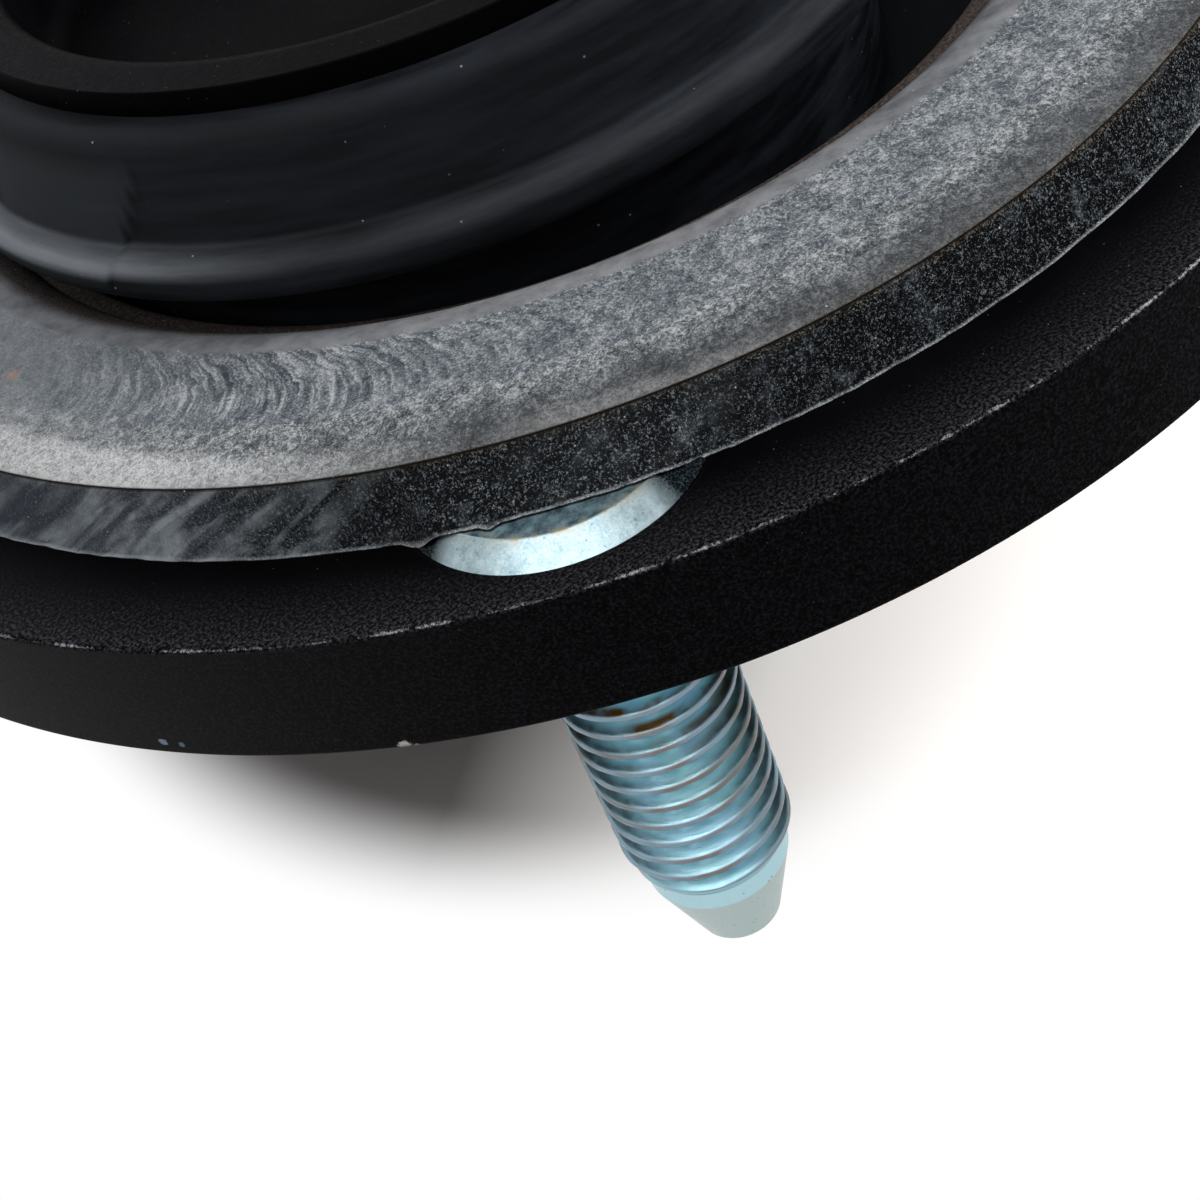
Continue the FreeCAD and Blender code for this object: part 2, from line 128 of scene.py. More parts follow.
def seen(tree):
    """1 where a ray comes straight from the eye, a mirror or through glass, else 0."""
    path = add(tree, "LightPath")
    either = add(tree, "Math", {0: path.outputs["Is Camera Ray"], 1: path.outputs["Is Glossy Ray"]},
                 operation="MAXIMUM")
    return add(tree, "Math", {0: either, 1: path.outputs["Is Transmission Ray"]}, operation="MAXIMUM")


world = bpy.context.scene.world or bpy.data.worlds.new("studio")
bpy.context.scene.world = world
tree = new_tree(world)
room = add(tree, "Background", {"Color": "#f2f4f7", "Strength": 0.25})
backdrop = add(tree, "Background", {"Color": "#ffffff", "Strength": 1.0})
mixed = add(tree, "MixShader", {0: seen(tree), 1: room, 2: backdrop})
add(tree, "OutputWorld", {"Surface": mixed})

paper, tree, mm, _ = start_material("white paper")
across = add(tree, "VectorMath", {0: mm, 1: RIGHTWARDS}, operation="DOT_PRODUCT").outputs["Value"]
right_side = add(tree, "MapRange", {0: across, 1: DARK_UNTIL, 2: LIGHT_FROM})
shade = add(tree, "Mix", {0: right_side, 6: "#6e6a69", 7: "#f0eeed"}, data_type="RGBA")
fill = add(tree, "Mix", {0: right_side, 6: "#262423", 7: "#8a8684"}, data_type="RGBA")
lit = add(tree, "BsdfDiffuse", {"Color": shade})
glow = add(tree, "Emission", {"Color": fill, "Strength": seen(tree)})
white = add(tree, "Emission", {"Color": "#ffffff", "Strength": seen(tree)})
from_shade = add(tree, "VectorMath", {0: mm, 1: SHADE_CENTRE}, operation="DISTANCE")
far = add(tree, "MapRange", {0: from_shade.outputs["Value"], 1: SHADE_REACH, 2: WHITE_REACH},
          interpolation_type="SMOOTHSTEP")
sheet = add(tree, "MixShader", {0: far, 1: add(tree, "AddShader", {0: lit, 1: glow}), 2: white})
behind = add(tree, "NewGeometry").outputs["Backfacing"]
sheet = add(tree, "MixShader", {0: behind, 1: sheet, 2: add(tree, "BsdfTransparent")})
add(tree, "OutputMaterial", {"Surface": sheet})

mesh = bpy.data.meshes.new("white_sheet")
mesh.from_pydata([(x * SHEET_HALF * MM, y * SHEET_HALF * MM, SHEET_LEVEL * MM)
                  for x, y in ((-1, -1), (1, -1), (1, 1), (-1, 1))], [], [(0, 1, 2, 3)])
mesh.materials.append(paper)
floor = bpy.data.objects.new("white_sheet", mesh)
bpy.context.scene.collection.objects.link(floor)

# Lamps, with place and size in metres and power in watts. The low box isn't mirrored, so that the black
# coat stays black beside it.
for name, place, size, power, tint, mirrored in (
    ("front_softbox", (-0.22, -0.24, 0.50), 0.60, 2.8, "#ffffff", True),
    ("low_softbox", (0.47, -0.16, 0.26), 0.30, 5.8, "#fffdfa", False),
    ("rear_card", (-0.10, 0.50, 0.30), 0.40, 0.8, "#eef5ff", True),
):
    lamp_data = bpy.data.lights.new(name, "AREA")
    lamp_data.shape = "SQUARE"
    lamp_data.size = size
    lamp_data.energy = power
    lamp_data.color = linear(tint)[:3]
    lamp = bpy.data.objects.new(name, lamp_data)
    lamp.location = place
    lamp.rotation_euler = (AIM - Vector(place)).to_track_quat("-Z", "Y").to_euler()
    lamp.visible_glossy = mirrored
    bpy.context.scene.collection.objects.link(lamp)


# Mounting plate: 8 mm steel disc, blanked and turned, with the bush's bore, its flange seat and three
# stepped stud holes. Black electrocoat, satin with a fine orange peel, rubbed thin along the arris, with
# dust and painted glints on the outer top, which is painted lighter towards the arris as a painted sheen,
# painted glints on the side, a grey painted reflection of the white sheet on the side away from the lamp
# and chips at the lower edge.
PLATE_RADIUS = 55.0
PLATE_TOP = 8.0
PLATE_EDGE = 0.35
INSET = 0.001
FLANGE_RADIUS = 36.0
SHELL_RADIUS = 34.7
SHELL_SHEET = 1.5
PITCH_RADIUS = 45.0
STUD_ANGLES = (0.0, 2 * pi / 3, 4 * pi / 3)
HEAD_RADIUS = 8.2
HEAD_GAP = 0.03
HEAD_SEAT = 6.2
KNURL_RADIUS = 5.4
SECTOR_STEPS = 240
SIDE_STEPS = 24
FAN_STEPS = 14
ARRIS_WORN = 0.20
# Dust and painted sheen: from this radius out to the arris the top is painted lighter, dust with a painted
# sheen of the bright room. The side has a fixed share of dust and painted glints.
DUST_AND_SHEEN_FROM = 50.0
SIDE_DUST_AND_GLINTS = 0.40
# A grey painted reflection of the white sheet on the plate's side, centred at the left.
REFLECTION_MIDDLE = radians(192)
REFLECTION_REACH = radians(52)
PLATE_MARKS = ("worn", "dust_and_sheen", "side_reflection")
CHIPS = (((-36.3, -41.3, 0.25), 0.42, "#d8d6d2"), ((-35.9, -41.7, 0.1), 0.25, "#b9b4ae"),
         ((-45.2, -31.3, 1.0), 0.30, "#8fa0b4"), ((-44.6, -32.2, 0.9), 0.22, "#6f8296"))


def outline(corners, step=0.8, closed=True, hem=0.06):
    """Points of an outline. A corner is r, z and rounding: the corner is cut back by
    rounding / tan(half its angle) and bridged by an arc in 6 steps. A straight run is split
    every step, with one more point hem from each end, so that the shading stays tight."""
    corners = [np.array(corner, float) for corner in corners]
    points = []
    count = len(corners)
    for index, corner in enumerate(corners):
        here, rounding = corner[:2], corner[2]
        inside = closed or 0 < index < count - 1
        if rounding == 0 or not inside:
            points.append([here])
            continue
        before = corners[index - 1][:2] - here
        after = corners[(index + 1) % count][:2] - here
        before, after = before / np.hypot(*before), after / np.hypot(*after)
        half = np.arccos(np.clip(before @ after, -1, 1)) / 2
        middle = here + (before + after) / np.hypot(*(before + after)) * rounding / np.sin(half)
        start = here + before * rounding / np.tan(half) - middle
        end = here + after * rounding / np.tan(half) - middle
        share = np.linspace(0, 1, 7)[:, None]
        swing = pi - 2 * half
        arc = (np.sin((1 - share) * swing) * start + np.sin(share * swing) * end) / np.sin(swing)
        points.append(list(middle + arc))
    line = []
    for index, group in enumerate(points):
        line.extend(group)
        if index == count - 1 and not closed:
            break
        start, end = group[-1], points[(index + 1) % count][0]
        length = np.hypot(*(end - start))
        if length > 3 * hem:
            inner = np.linspace(hem, length - hem, max(2, int(length / step) + 1))
            line.extend(start + (end - start) * (inner / length)[:, None])
    if closed:
        line.append(line[0])
    return np.array(line)


def turned(line, angles, centre_x=0.0, wrap=40.0):
    """An outline of (r, z) turned about the upright axis through centre_x: a point is
    (centre_x + r cos a, r sin a, z). Also the UV map (wrap * a, length along the outline) and the
    seamless wrap coordinates (wrap cos a, wrap sin a, length), all in mm."""
    radius, height = line[:, 0], line[:, 1]
    length = np.r_[0, np.cumsum(np.hypot(np.diff(radius), np.diff(height)))]
    a = angles[:, None]
    shape = (len(angles), len(line))
    points = np.stack([centre_x + radius * np.cos(a), radius * np.sin(a), np.broadcast_to(height, shape)], -1)
    uv = np.stack([np.broadcast_to(wrap * a, shape), np.broadcast_to(length, shape)], -1)
    round_it = np.stack([np.broadcast_to(wrap * np.cos(a), shape), np.broadcast_to(wrap * np.sin(a), shape),
                         np.broadcast_to(length, shape)], -1)
    return {"points": points, "uv": uv, "wrap": round_it}


def build(name, patches, material, mark_names=()):
    """One mesh from grids of points in mm. The quad (i,j) (i+1,j) (i+1,j+1) (i,j+1) faces outwards.
    Equal points weld, so a closed round's last column repeats its first and a pole is one point.
    A patch's marks, such as how worn a point is, are kept as point attributes."""
    corners, start = [], 0
    for patch in patches:
        n, m = patch["points"].shape[:2]
        index = start + np.arange(n * m).reshape(n, m)
        quads = np.stack([index[:-1, :-1], index[1:, :-1], index[1:, 1:], index[:-1, 1:]], -1)
        corners.append(quads.reshape(-1, 4))
        start += n * m
    corners = np.concatenate(corners)
    places = np.concatenate([patch["points"].reshape(-1, 3) for patch in patches])
    keys = np.round(places * 1e4 + 0.137).astype(np.int64)
    _, first, weld = np.unique(keys, axis=0, return_index=True, return_inverse=True)
    joined = weld.reshape(-1)[corners]
    keep = joined != np.roll(joined, -1, axis=1)
    whole = keep.sum(1) > 2
    joined, keep, corners = joined[whole], keep[whole], corners[whole]
    sides = keep.sum(1)
    mesh = bpy.data.meshes.new(name)
    mesh.vertices.add(len(first))
    mesh.vertices.foreach_set("co", (places[first] * MM).astype(np.float32).ravel())
    mesh.loops.add(int(sides.sum()))
    mesh.loops.foreach_set("vertex_index", joined[keep].astype(np.int32))
    mesh.polygons.add(len(sides))
    mesh.polygons.foreach_set("loop_start", np.r_[0, np.cumsum(sides)[:-1]].astype(np.int32))
    mesh.update(calc_edges=True)
    mesh.validate()
    uvs = np.concatenate([patch["uv"].reshape(-1, 2) for patch in patches])[corners[keep]]
    mesh.uv_layers.new(name="mm").data.foreach_set("uv", uvs.astype(np.float32).ravel())
    wraps = np.concatenate([patch["wrap"].reshape(-1, 3) for patch in patches])[first]
    mesh.attributes.new("wrap", "FLOAT_VECTOR", "POINT").data.foreach_set(
        "vector", wraps.astype(np.float32).ravel())
    for mark in mark_names:
        values = np.concatenate([np.broadcast_to(patch.get(mark, 0.0), patch["points"].shape[:2]).reshape(-1)
                                 for patch in patches])[first]
        mesh.attributes.new(mark, "FLOAT", "POINT").data.foreach_set("value", values.astype(np.float32))
    mesh.shade_smooth()
    piece = bpy.data.objects.new(name, mesh)
    bpy.context.scene.collection.objects.link(piece)
    mesh.materials.append(material)
    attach(piece, "root")
    return piece


def around(centre, steps):
    """Angles over the whole round in equal steps. The seam is opposite centre."""
    return np.linspace(centre - pi, centre + pi, steps + 1)


def near(value, middle, reach):
    """1 at middle, falling smoothly to 0 at reach on both sides."""
    share = np.clip(1 - np.abs(value - middle) / reach, 0, 1)
    return share * share * (3 - 2 * share)


def from_angle(a, middle):
    """The angle from middle to a, between minus and plus half a turn."""
    return (a - middle + pi) % (2 * pi) - pi


def sector_face(z, rim, bore, hole, stud_angle, upward):
    """A third of the plate's face round one stud hole. Lines run from the hole's edge to the sector's
    edge (outer arc, straight side, inner arc, straight side): point = hole * (1 - t) + edge * t."""
    span = pi / 3
    outer = np.linspace(-span, span, SECTOR_STEPS + 1)
    side = np.linspace(0, 1, SIDE_STEPS + 1)[1:-1]
    edge_r = np.concatenate([np.full(len(outer), rim), rim + (bore - rim) * side,
                             np.full(len(outer), bore), bore + (rim - bore) * side, [rim]])
    edge_a = np.concatenate([outer, np.full(len(side), span), outer[::-1], np.full(len(side), -span), [-span]])
    edge = np.stack([edge_r * np.cos(edge_a), edge_r * np.sin(edge_a)], -1)
    towards = np.arctan2(edge[:, 1], edge[:, 0] - PITCH_RADIUS)
    lip = np.stack([PITCH_RADIUS + hole * np.cos(towards), hole * np.sin(towards)], -1)
    share = (np.linspace(0, 1, FAN_STEPS + 1) ** 1.3)[None, :, None]
    flat = lip[:, None] * (1 - share) + edge[:, None] * share
    ca, sa = cos(stud_angle), sin(stud_angle)
    x = flat[..., 0] * ca - flat[..., 1] * sa
    y = flat[..., 0] * sa + flat[..., 1] * ca
    points = np.stack([x, y, np.full_like(x, z)], -1)
    if upward:
        points = points[::-1]
    outwards = (np.hypot(points[..., 0], points[..., 1]) - DUST_AND_SHEEN_FROM) / (PLATE_RADIUS - DUST_AND_SHEEN_FROM)
    dust_and_sheen = np.clip(outwards, 0, 1) ** 1.5 * upward
    return {"points": points, "uv": points[..., :2], "wrap": points, "towards": towards, "dust_and_sheen": dust_and_sheen}


# INSET keeps the rim a micrometre within the CAD solid's box.
rim_line = outline([(PLATE_RADIUS - PLATE_EDGE, 0, 0), (PLATE_RADIUS - INSET, INSET, PLATE_EDGE - 2 * INSET),
                    (PLATE_RADIUS - INSET, PLATE_TOP - INSET, PLATE_EDGE - 2 * INSET),
                    (PLATE_RADIUS - PLATE_EDGE, PLATE_TOP, 0)], step=0.5, closed=False, hem=0.1)
rim_angles = np.linspace(-pi / 3, 5 * pi / 3, 3 * SECTOR_STEPS + 1)
rim_height = rim_line[:, 1]
on_side = rim_height < PLATE_TOP - 0.2
rim = turned(rim_line, rim_angles)
rim["dust_and_sheen"] = np.where(on_side, SIDE_DUST_AND_GLINTS, 1.0)
# The side's painted reflection of the white sheet.
rim["side_reflection"] = near(from_angle(rim_angles[:, None], REFLECTION_MIDDLE), 0.0, REFLECTION_REACH) * on_side
rim["worn"] = near(rim_height, PLATE_TOP - 0.10, ARRIS_WORN) + 0.45 * near(rim_height, 0.08, 0.15)
bore_line = outline([(FLANGE_RADIUS, PLATE_TOP, 0), (FLANGE_RADIUS, PLATE_TOP - SHELL_SHEET, 0),
                     (SHELL_RADIUS, PLATE_TOP - SHELL_SHEET, 0), (SHELL_RADIUS, 0, 0)], step=1.0, closed=False)
patches = [rim, turned(bore_line, rim_angles)]
well_radius = HEAD_RADIUS + HEAD_GAP
for stud_angle in STUD_ANGLES:
    top = sector_face(PLATE_TOP, PLATE_RADIUS - PLATE_EDGE, FLANGE_RADIUS, well_radius, stud_angle, True)
    under = sector_face(0.0, PLATE_RADIUS - PLATE_EDGE, SHELL_RADIUS, KNURL_RADIUS, stud_angle, False)
    patches += [top, under]
    # The well's rows go from the top face's hole to the under face's: radius, height, share of the latter.
    ca, sa = cos(stud_angle), sin(stud_angle)
    levels = np.array([(well_radius, PLATE_TOP, 0), (well_radius, HEAD_SEAT, 0),
                       (KNURL_RADIUS, HEAD_SEAT, 0.5), (KNURL_RADIUS, 0, 1)])
    a = top["towards"][:, None] * (1 - levels[:, 2]) + under["towards"][:, None] * levels[:, 2]
    x, y = PITCH_RADIUS + levels[:, 0] * np.cos(a), levels[:, 0] * np.sin(a)
    well = np.stack([x * ca - y * sa, x * sa + y * ca, np.broadcast_to(levels[:, 1], a.shape)], -1)[::-1]
    patches.append({"points": well, "uv": well[..., :2], "wrap": well})

# Electrocoat cures to a skin with dimples about 0.3 mm apart, so it is satin and never quite even. Grit
# sits half a millimetre apart and is drawn a little coarser than dust is, to show.
black_coat, tree, mm, marks = start_material("black electrocoat on steel", PLATE_MARKS)
peel = add(tree, "TexNoise", {"Vector": mm, "Scale": 3.6, "Detail": 3.0, "Roughness": 0.55})
cloud = add(tree, "TexNoise", {"Vector": mm, "Scale": 0.09, "Detail": 4.0, "Roughness": 0.6})
grit = add(tree, "TexVoronoi", {"Vector": mm, "Scale": 1.9, "Randomness": 1.0})
few = add(tree, "MapRange", {0: add(tree, "SeparateColor", {0: grit.outputs["Color"]}), 1: 0.55, 2: 0.98})
speck = add(tree, "Math", {0: few, 1: add(tree, "MapRange", {0: grit.outputs["Distance"], 1: 0.07, 2: 0.02})},
            operation="MULTIPLY")
bead = add(tree, "TexNoise", {"Vector": mm, "Scale": 5.0, "Detail": 4.0, "Roughness": 0.8})
patchy = add(tree, "TexNoise", {"Vector": mm, "Scale": 0.5, "Detail": 3.0})
patches_here = add(tree, "MapRange", {0: patchy, 1: 0.36, 2: 0.64, 3: 0.66, 4: 1.08})
bared = add(tree, "Math", {0: marks["worn"], 1: bead}, operation="MULTIPLY")
bared = add(tree, "Math", {0: bared, 1: patches_here}, operation="MULTIPLY")
bared = add(tree, "MapRange", {0: bared, 1: 0.40, 2: 0.60})
# The peel's lighter peaks are painted glints. With dust they lighten the outer top and the side.
skin = add(tree, "TexNoise", {"Vector": mm, "Scale": 5.5, "Detail": 3.0, "Roughness": 0.7})
painted_glint = add(tree, "MapRange", {0: skin, 1: 0.46, 2: 0.66})
dust_and_glints = add(tree, "Math", {0: painted_glint, 1: add(tree, "MapRange", {0: marks["dust_and_sheen"], 3: 0.0, 4: 0.8})},
           operation="MULTIPLY")
coat = add(tree, "ValToRGB", {0: cloud}, stops=[(0.35, "#020203"), (0.65, "#050506")])
# Into the coat go the painted reflection on the side, dust with painted glints, and grit.
for share, tone in ((marks["side_reflection"], "#302e2f"), (dust_and_glints, "#3b3a3f"), (speck, "#6f7378")):
    coat = add(tree, "Mix", {0: share, 6: coat, 7: tone}, data_type="RGBA")
fray = add(tree, "MapRange", {0: skin, 1: 0.3, 2: 0.7, 3: 0.8, 4: 1.5})
for place, size, tone in CHIPS:
    away = add(tree, "VectorMath", {0: mm, 1: place}, operation="DISTANCE").outputs["Value"]
    frayed = add(tree, "Math", {0: away, 1: fray}, operation="MULTIPLY")
    chip = add(tree, "MapRange", {0: frayed, 1: size, 2: size * 0.8})
    coat = add(tree, "Mix", {0: chip, 6: coat, 7: tone}, data_type="RGBA")
finish = add(tree, "Mix", {0: bared, 6: coat, 7: "#a3a2a9"}, data_type="RGBA")
sheen = add(tree, "MapRange", {0: peel, 1: 0.3, 2: 0.7, 3: 0.40, 4: 0.52})
relief = add(tree, "Bump", {"Height": peel, "Strength": 0.35, "Distance": 0.00006})
relief = add(tree, "Bump", {"Height": bared, "Normal": relief, "Strength": 0.5, "Distance": 0.00008})
shader = add(tree, "BsdfPrincipled", {"Base Color": finish, "Roughness": sheen, "Normal": relief,
                                      "IOR": 1.5, "Specular IOR Level": 0.012})
add(tree, "OutputMaterial", {"Surface": shader})
piece = build("plate_disc", patches, black_coat, PLATE_MARKS)
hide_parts("mounting_plate")


# Studs: cold-headed M10 x 1.5 press-in studs with a bevelled head, splined shank, undercut, rolled thread
# and a lead-in pilot. Zinc plated with a blue passivate, pale on the head and teal in the thread, with
# stains high in the thread, painted shade at the head's ends where the ring reaches over, a painted
# reflection darkening the head's top, painted shade in the thread's roots, and dull bare tips.
PITCH = 1.5
THREAD_RADIUS = 5.0
ROOT_RADIUS = 4.08
THREAD_END = 20.8
CREST_SHARE = 0.20
ROOT_SHARE = 0.82
HEAD_TOP = 9.2
BEVEL = 1.2
UNDERCUT = 0.8
UNDERCUT_RADIUS = 4.5
KNURL_COUNT = 20
KNURL_DEPTH = 0.3
PILOT_RADIUS = 4.25
PILOT_START = 22.0
PILOT_END = 23.3
TIP_RADIUS = 2.5
TURN_STEPS = 120
PITCH_STEPS = 15
THREAD_TURNS = 14
STUD_MARKS = ("root", "threaded", "crown", "top", "head_end_shade", "lead")


def thread_radius(height, angle):
    """Radius of a right-hand thread: with p = height / pitch - angle / full turn, and q its distance
    from the nearest whole number (0 on the crest, 0.5 in the root), a flat crest for q < 0.10,
    straight flanks, and a rounded root past q = 0.41. Also returns q doubled, 0 crest to 1 root."""
    phase = height / PITCH - angle / (2 * pi)
    from_crest = np.abs(phase - np.round(phase)) * 2
    depth = np.clip((from_crest - CREST_SHARE) / (ROOT_SHARE - CREST_SHARE), 0, 1)
    depth = depth - 0.10 * np.exp(-((depth - 1) / 0.12) ** 2) * (depth < 1)
    return THREAD_RADIUS - (THREAD_RADIUS - ROOT_RADIUS) * depth, from_crest


def stud_surface(angle):
    """One stud about its own axis: radius(height, a) is the turned outline, and between the body face
    and the pilot it is the lesser of the thread's radius and the run-out cone. The shank's radius is
    less by the knurl's depth times cos(count * a), cut off flat on both sides."""
    above = outline([(KNURL_RADIUS, UNDERCUT, 0), (KNURL_RADIUS, HEAD_SEAT, 0), (HEAD_RADIUS, HEAD_SEAT, 0.1),
                     (HEAD_RADIUS, PLATE_TOP + 0.04, 0.03), (HEAD_RADIUS - BEVEL, HEAD_TOP, 0.12),
                     (0, HEAD_TOP, 0)], step=0.45, closed=False)
    below = outline([(0, -STUD_REACH, 0), (TIP_RADIUS - 0.5, -STUD_REACH, 0.4),
                     (TIP_RADIUS, 0.5 - STUD_REACH, 0.4), (PILOT_RADIUS, -PILOT_END, 0.3),
                     (PILOT_RADIUS, -PILOT_START, 0.25), (THREAD_RADIUS - 0.05, -THREAD_END, 0)],
                    step=0.45, closed=False)
    threaded = np.linspace(-THREAD_END, -0.02, PITCH_STEPS * THREAD_TURNS)[1:]
    line = np.concatenate([below, np.stack([np.full(len(threaded), THREAD_RADIUS), threaded], -1),
                           [(UNDERCUT_RADIUS, 0.0), (UNDERCUT_RADIUS, UNDERCUT)], above])
    around_stud = np.linspace(-pi, pi, TURN_STEPS + 1)
    turn = around_stud[:, None]
    patch = turned(line, around_stud, wrap=THREAD_RADIUS)
    out, height = line[:, 0], line[:, 1]
    cut, phase = thread_radius(height[None, :], turn)
    in_thread = (height < -0.01) & (height > -PILOT_START) & (out > PILOT_RADIUS - 0.05)
    fade_in = np.clip((height + PILOT_START) / 1.6, 0, 1)
    slope = (THREAD_RADIUS - PILOT_RADIUS) / (PILOT_START - THREAD_END)
    cone = np.clip(PILOT_RADIUS + (height + PILOT_START) * slope, PILOT_RADIUS - 0.05, THREAD_RADIUS)
    radius = np.where(in_thread, np.minimum(cut * fade_in + out * (1 - fade_in), cone), out)
    splines = (height > UNDERCUT) & (height < HEAD_SEAT) & (np.abs(out - KNURL_RADIUS) < 1e-6)
    groove = np.clip(1.6 * np.cos(KNURL_COUNT * turn) - 0.6, 0, 1)
    radius = np.where(splines, radius - KNURL_DEPTH * groove, radius)
    spin = turn + angle
    patch["points"] = np.stack([PITCH_RADIUS * cos(angle) + radius * np.cos(spin),
                                PITCH_RADIUS * sin(angle) + radius * np.sin(spin),
                                np.broadcast_to(height, radius.shape)], -1)
    patch["root"] = np.where(in_thread, phase, 0.5)
    patch["threaded"] = in_thread * 1.0
    patch["top"] = ((height > HEAD_TOP - 0.02) & (out < HEAD_RADIUS - BEVEL - 0.05)) * 1.0
    patch["crown"] = near(np.hypot(out - (HEAD_RADIUS - BEVEL), height - HEAD_TOP), 0.0, 0.20)
    on_bevel = (height > HEAD_TOP - 1.3) & (out > HEAD_RADIUS - 1.6)
    # Both ends of the head's bevel, under the ring's edge, are painted dark: painted shade.
    unshaded_reach = np.where(turn > 0, radians(37), radians(43))
    patch["head_end_shade"] = np.clip((np.abs(turn) - unshaded_reach) / radians(11), 0, 1) * on_bevel
    # 0 on the head, half on the pilot and 1 on the tip.
    patch["lead"] = 0.5 * (height < 0.1 - PILOT_START) + 0.5 * np.clip((0.1 - PILOT_END - height) / 0.25, 0, 1)
    return patch


# Electroplated zinc dipped in blue passivate has a soft sheen, bluest where the film is thickest. Its crystals
# are too fine to show, so the mottle is drawn at 0.7 mm and the grain at 0.1 mm.
zinc_plate, tree, mm, marks = start_material("zinc plate with blue passivate", STUD_MARKS)
mottle = add(tree, "TexNoise", {"Vector": mm, "Scale": 1.5, "Detail": 6.0, "Roughness": 0.65})
tint = add(tree, "TexNoise", {"Vector": mm, "Scale": 0.28, "Detail": 3.0})
grain = add(tree, "TexNoise", {"Vector": mm, "Scale": 9.0, "Detail": 3.0, "Roughness": 0.7})
crisp = add(tree, "Mix", {0: 0.4, 2: mottle, 3: grain}, data_type="FLOAT")
plain = add(tree, "ValToRGB", {0: crisp}, stops=[(0.36, "#768b92"), (0.62, "#a6b7bc")])
# The head's flat top is painted darker: a painted reflection of the dark rubber wall behind it, and shade under
# the ring.
painted_dark_top = add(tree, "ValToRGB", {0: mottle}, stops=[(0.36, "#303f48"), (0.66, "#6b8389")])
plain = add(tree, "Mix", {0: marks["top"], 6: plain, 7: painted_dark_top}, data_type="RGBA")
end_tone = add(tree, "ValToRGB", {0: marks["lead"]}, stops=[(0.5, "#b4dce5"), (0.9, "#a8b8b4")])
on_end = add(tree, "MapRange", {0: marks["lead"], 2: 0.5, 4: 0.72})
plain = add(tree, "Mix", {0: on_end, 6: plain, 7: end_tone}, data_type="RGBA")
# Crest to root: the near black last stop is painted shade in the thread's roots.
flank_and_root_shade = add(tree, "ValToRGB", {0: marks["root"]}, stops=[
    (0.18, "#77706f"), (0.31, "#86acb4"), (0.66, "#9cc6ce"), (0.97, "#264a5e")])
bluer = add(tree, "MapRange", {0: tint, 1: 0.40, 2: 0.60, 4: 0.5})
flank_and_root_shade = add(tree, "Mix", {0: bluer, 6: flank_and_root_shade, 7: "#8cb0c6"}, data_type="RGBA")
colour = add(tree, "Mix", {0: marks["threaded"], 6: plain, 7: flank_and_root_shade}, data_type="RGBA")
cloud = add(tree, "TexNoise", {"Vector": mm, "Scale": 0.45, "Detail": 3.0})
by_crest = add(tree, "ValToRGB", {0: marks["root"]}, stops=[
    (0.18, "#000000"), (0.30, "#ffffff"), (0.46, "#ffffff"), (0.60, "#000000")])
high_up = add(tree, "MapRange", {0: add(tree, "SeparateXYZ", {0: mm}).outputs["Z"], 1: -12.0, 2: -7.0})
stain = add(tree, "MapRange", {0: cloud, 1: 0.47, 2: 0.62})
for limit in (by_crest, marks["threaded"], high_up):
    stain = add(tree, "Math", {0: stain, 1: limit}, operation="MULTIPLY")
yellowed = add(tree, "Math", {0: marks["crown"], 1: add(tree, "MapRange", {0: mottle, 1: 0.4, 2: 0.6})},
               operation="MULTIPLY")
pits = add(tree, "TexVoronoi", {"Vector": mm, "Scale": 1.6})
pit = add(tree, "MapRange", {0: pits.outputs["Distance"], 1: 0.15, 2: 0.07, 4: 0.65})
pit = add(tree, "Math", {0: pit, 1: marks["threaded"]}, operation="SUBTRACT", use_clamp=True)
# Painted shade at the head's ends, with a frayed edge.
fray = add(tree, "MapRange", {0: grain, 1: 0.3, 2: 0.7, 3: -0.25, 4: 0.25})
fray = add(tree, "Math", {0: fray, 1: marks["head_end_shade"]}, operation="MULTIPLY")
head_end_shade = add(tree, "Math", {0: fray, 1: marks["head_end_shade"]}, operation="ADD", use_clamp=True)
for share, tone in ((stain, "#6b4c20"), (yellowed, "#8a8068"), (pit, "#5d6c73"), (head_end_shade, "#0a1015")):
    colour = add(tree, "Mix", {0: share, 6: colour, 7: tone}, data_type="RGBA")
dulled = add(tree, "MapRange", {0: mottle, 1: 0.35, 2: 0.65, 3: 0.30, 4: 0.42})
relief = add(tree, "Bump", {"Height": grain, "Strength": 0.25, "Distance": 0.00003})
shader = add(tree, "BsdfPrincipled", {"Base Color": colour, "Metallic": 1.0, "Roughness": dulled,
                                      "Normal": relief})
add(tree, "OutputMaterial", {"Surface": shader})
for number, angle in enumerate(STUD_ANGLES, start=1):
    piece = build(f"press_stud_{number}", [stud_surface(angle)], zinc_plate, STUD_MARKS)
    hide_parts(f"stud_{number}")


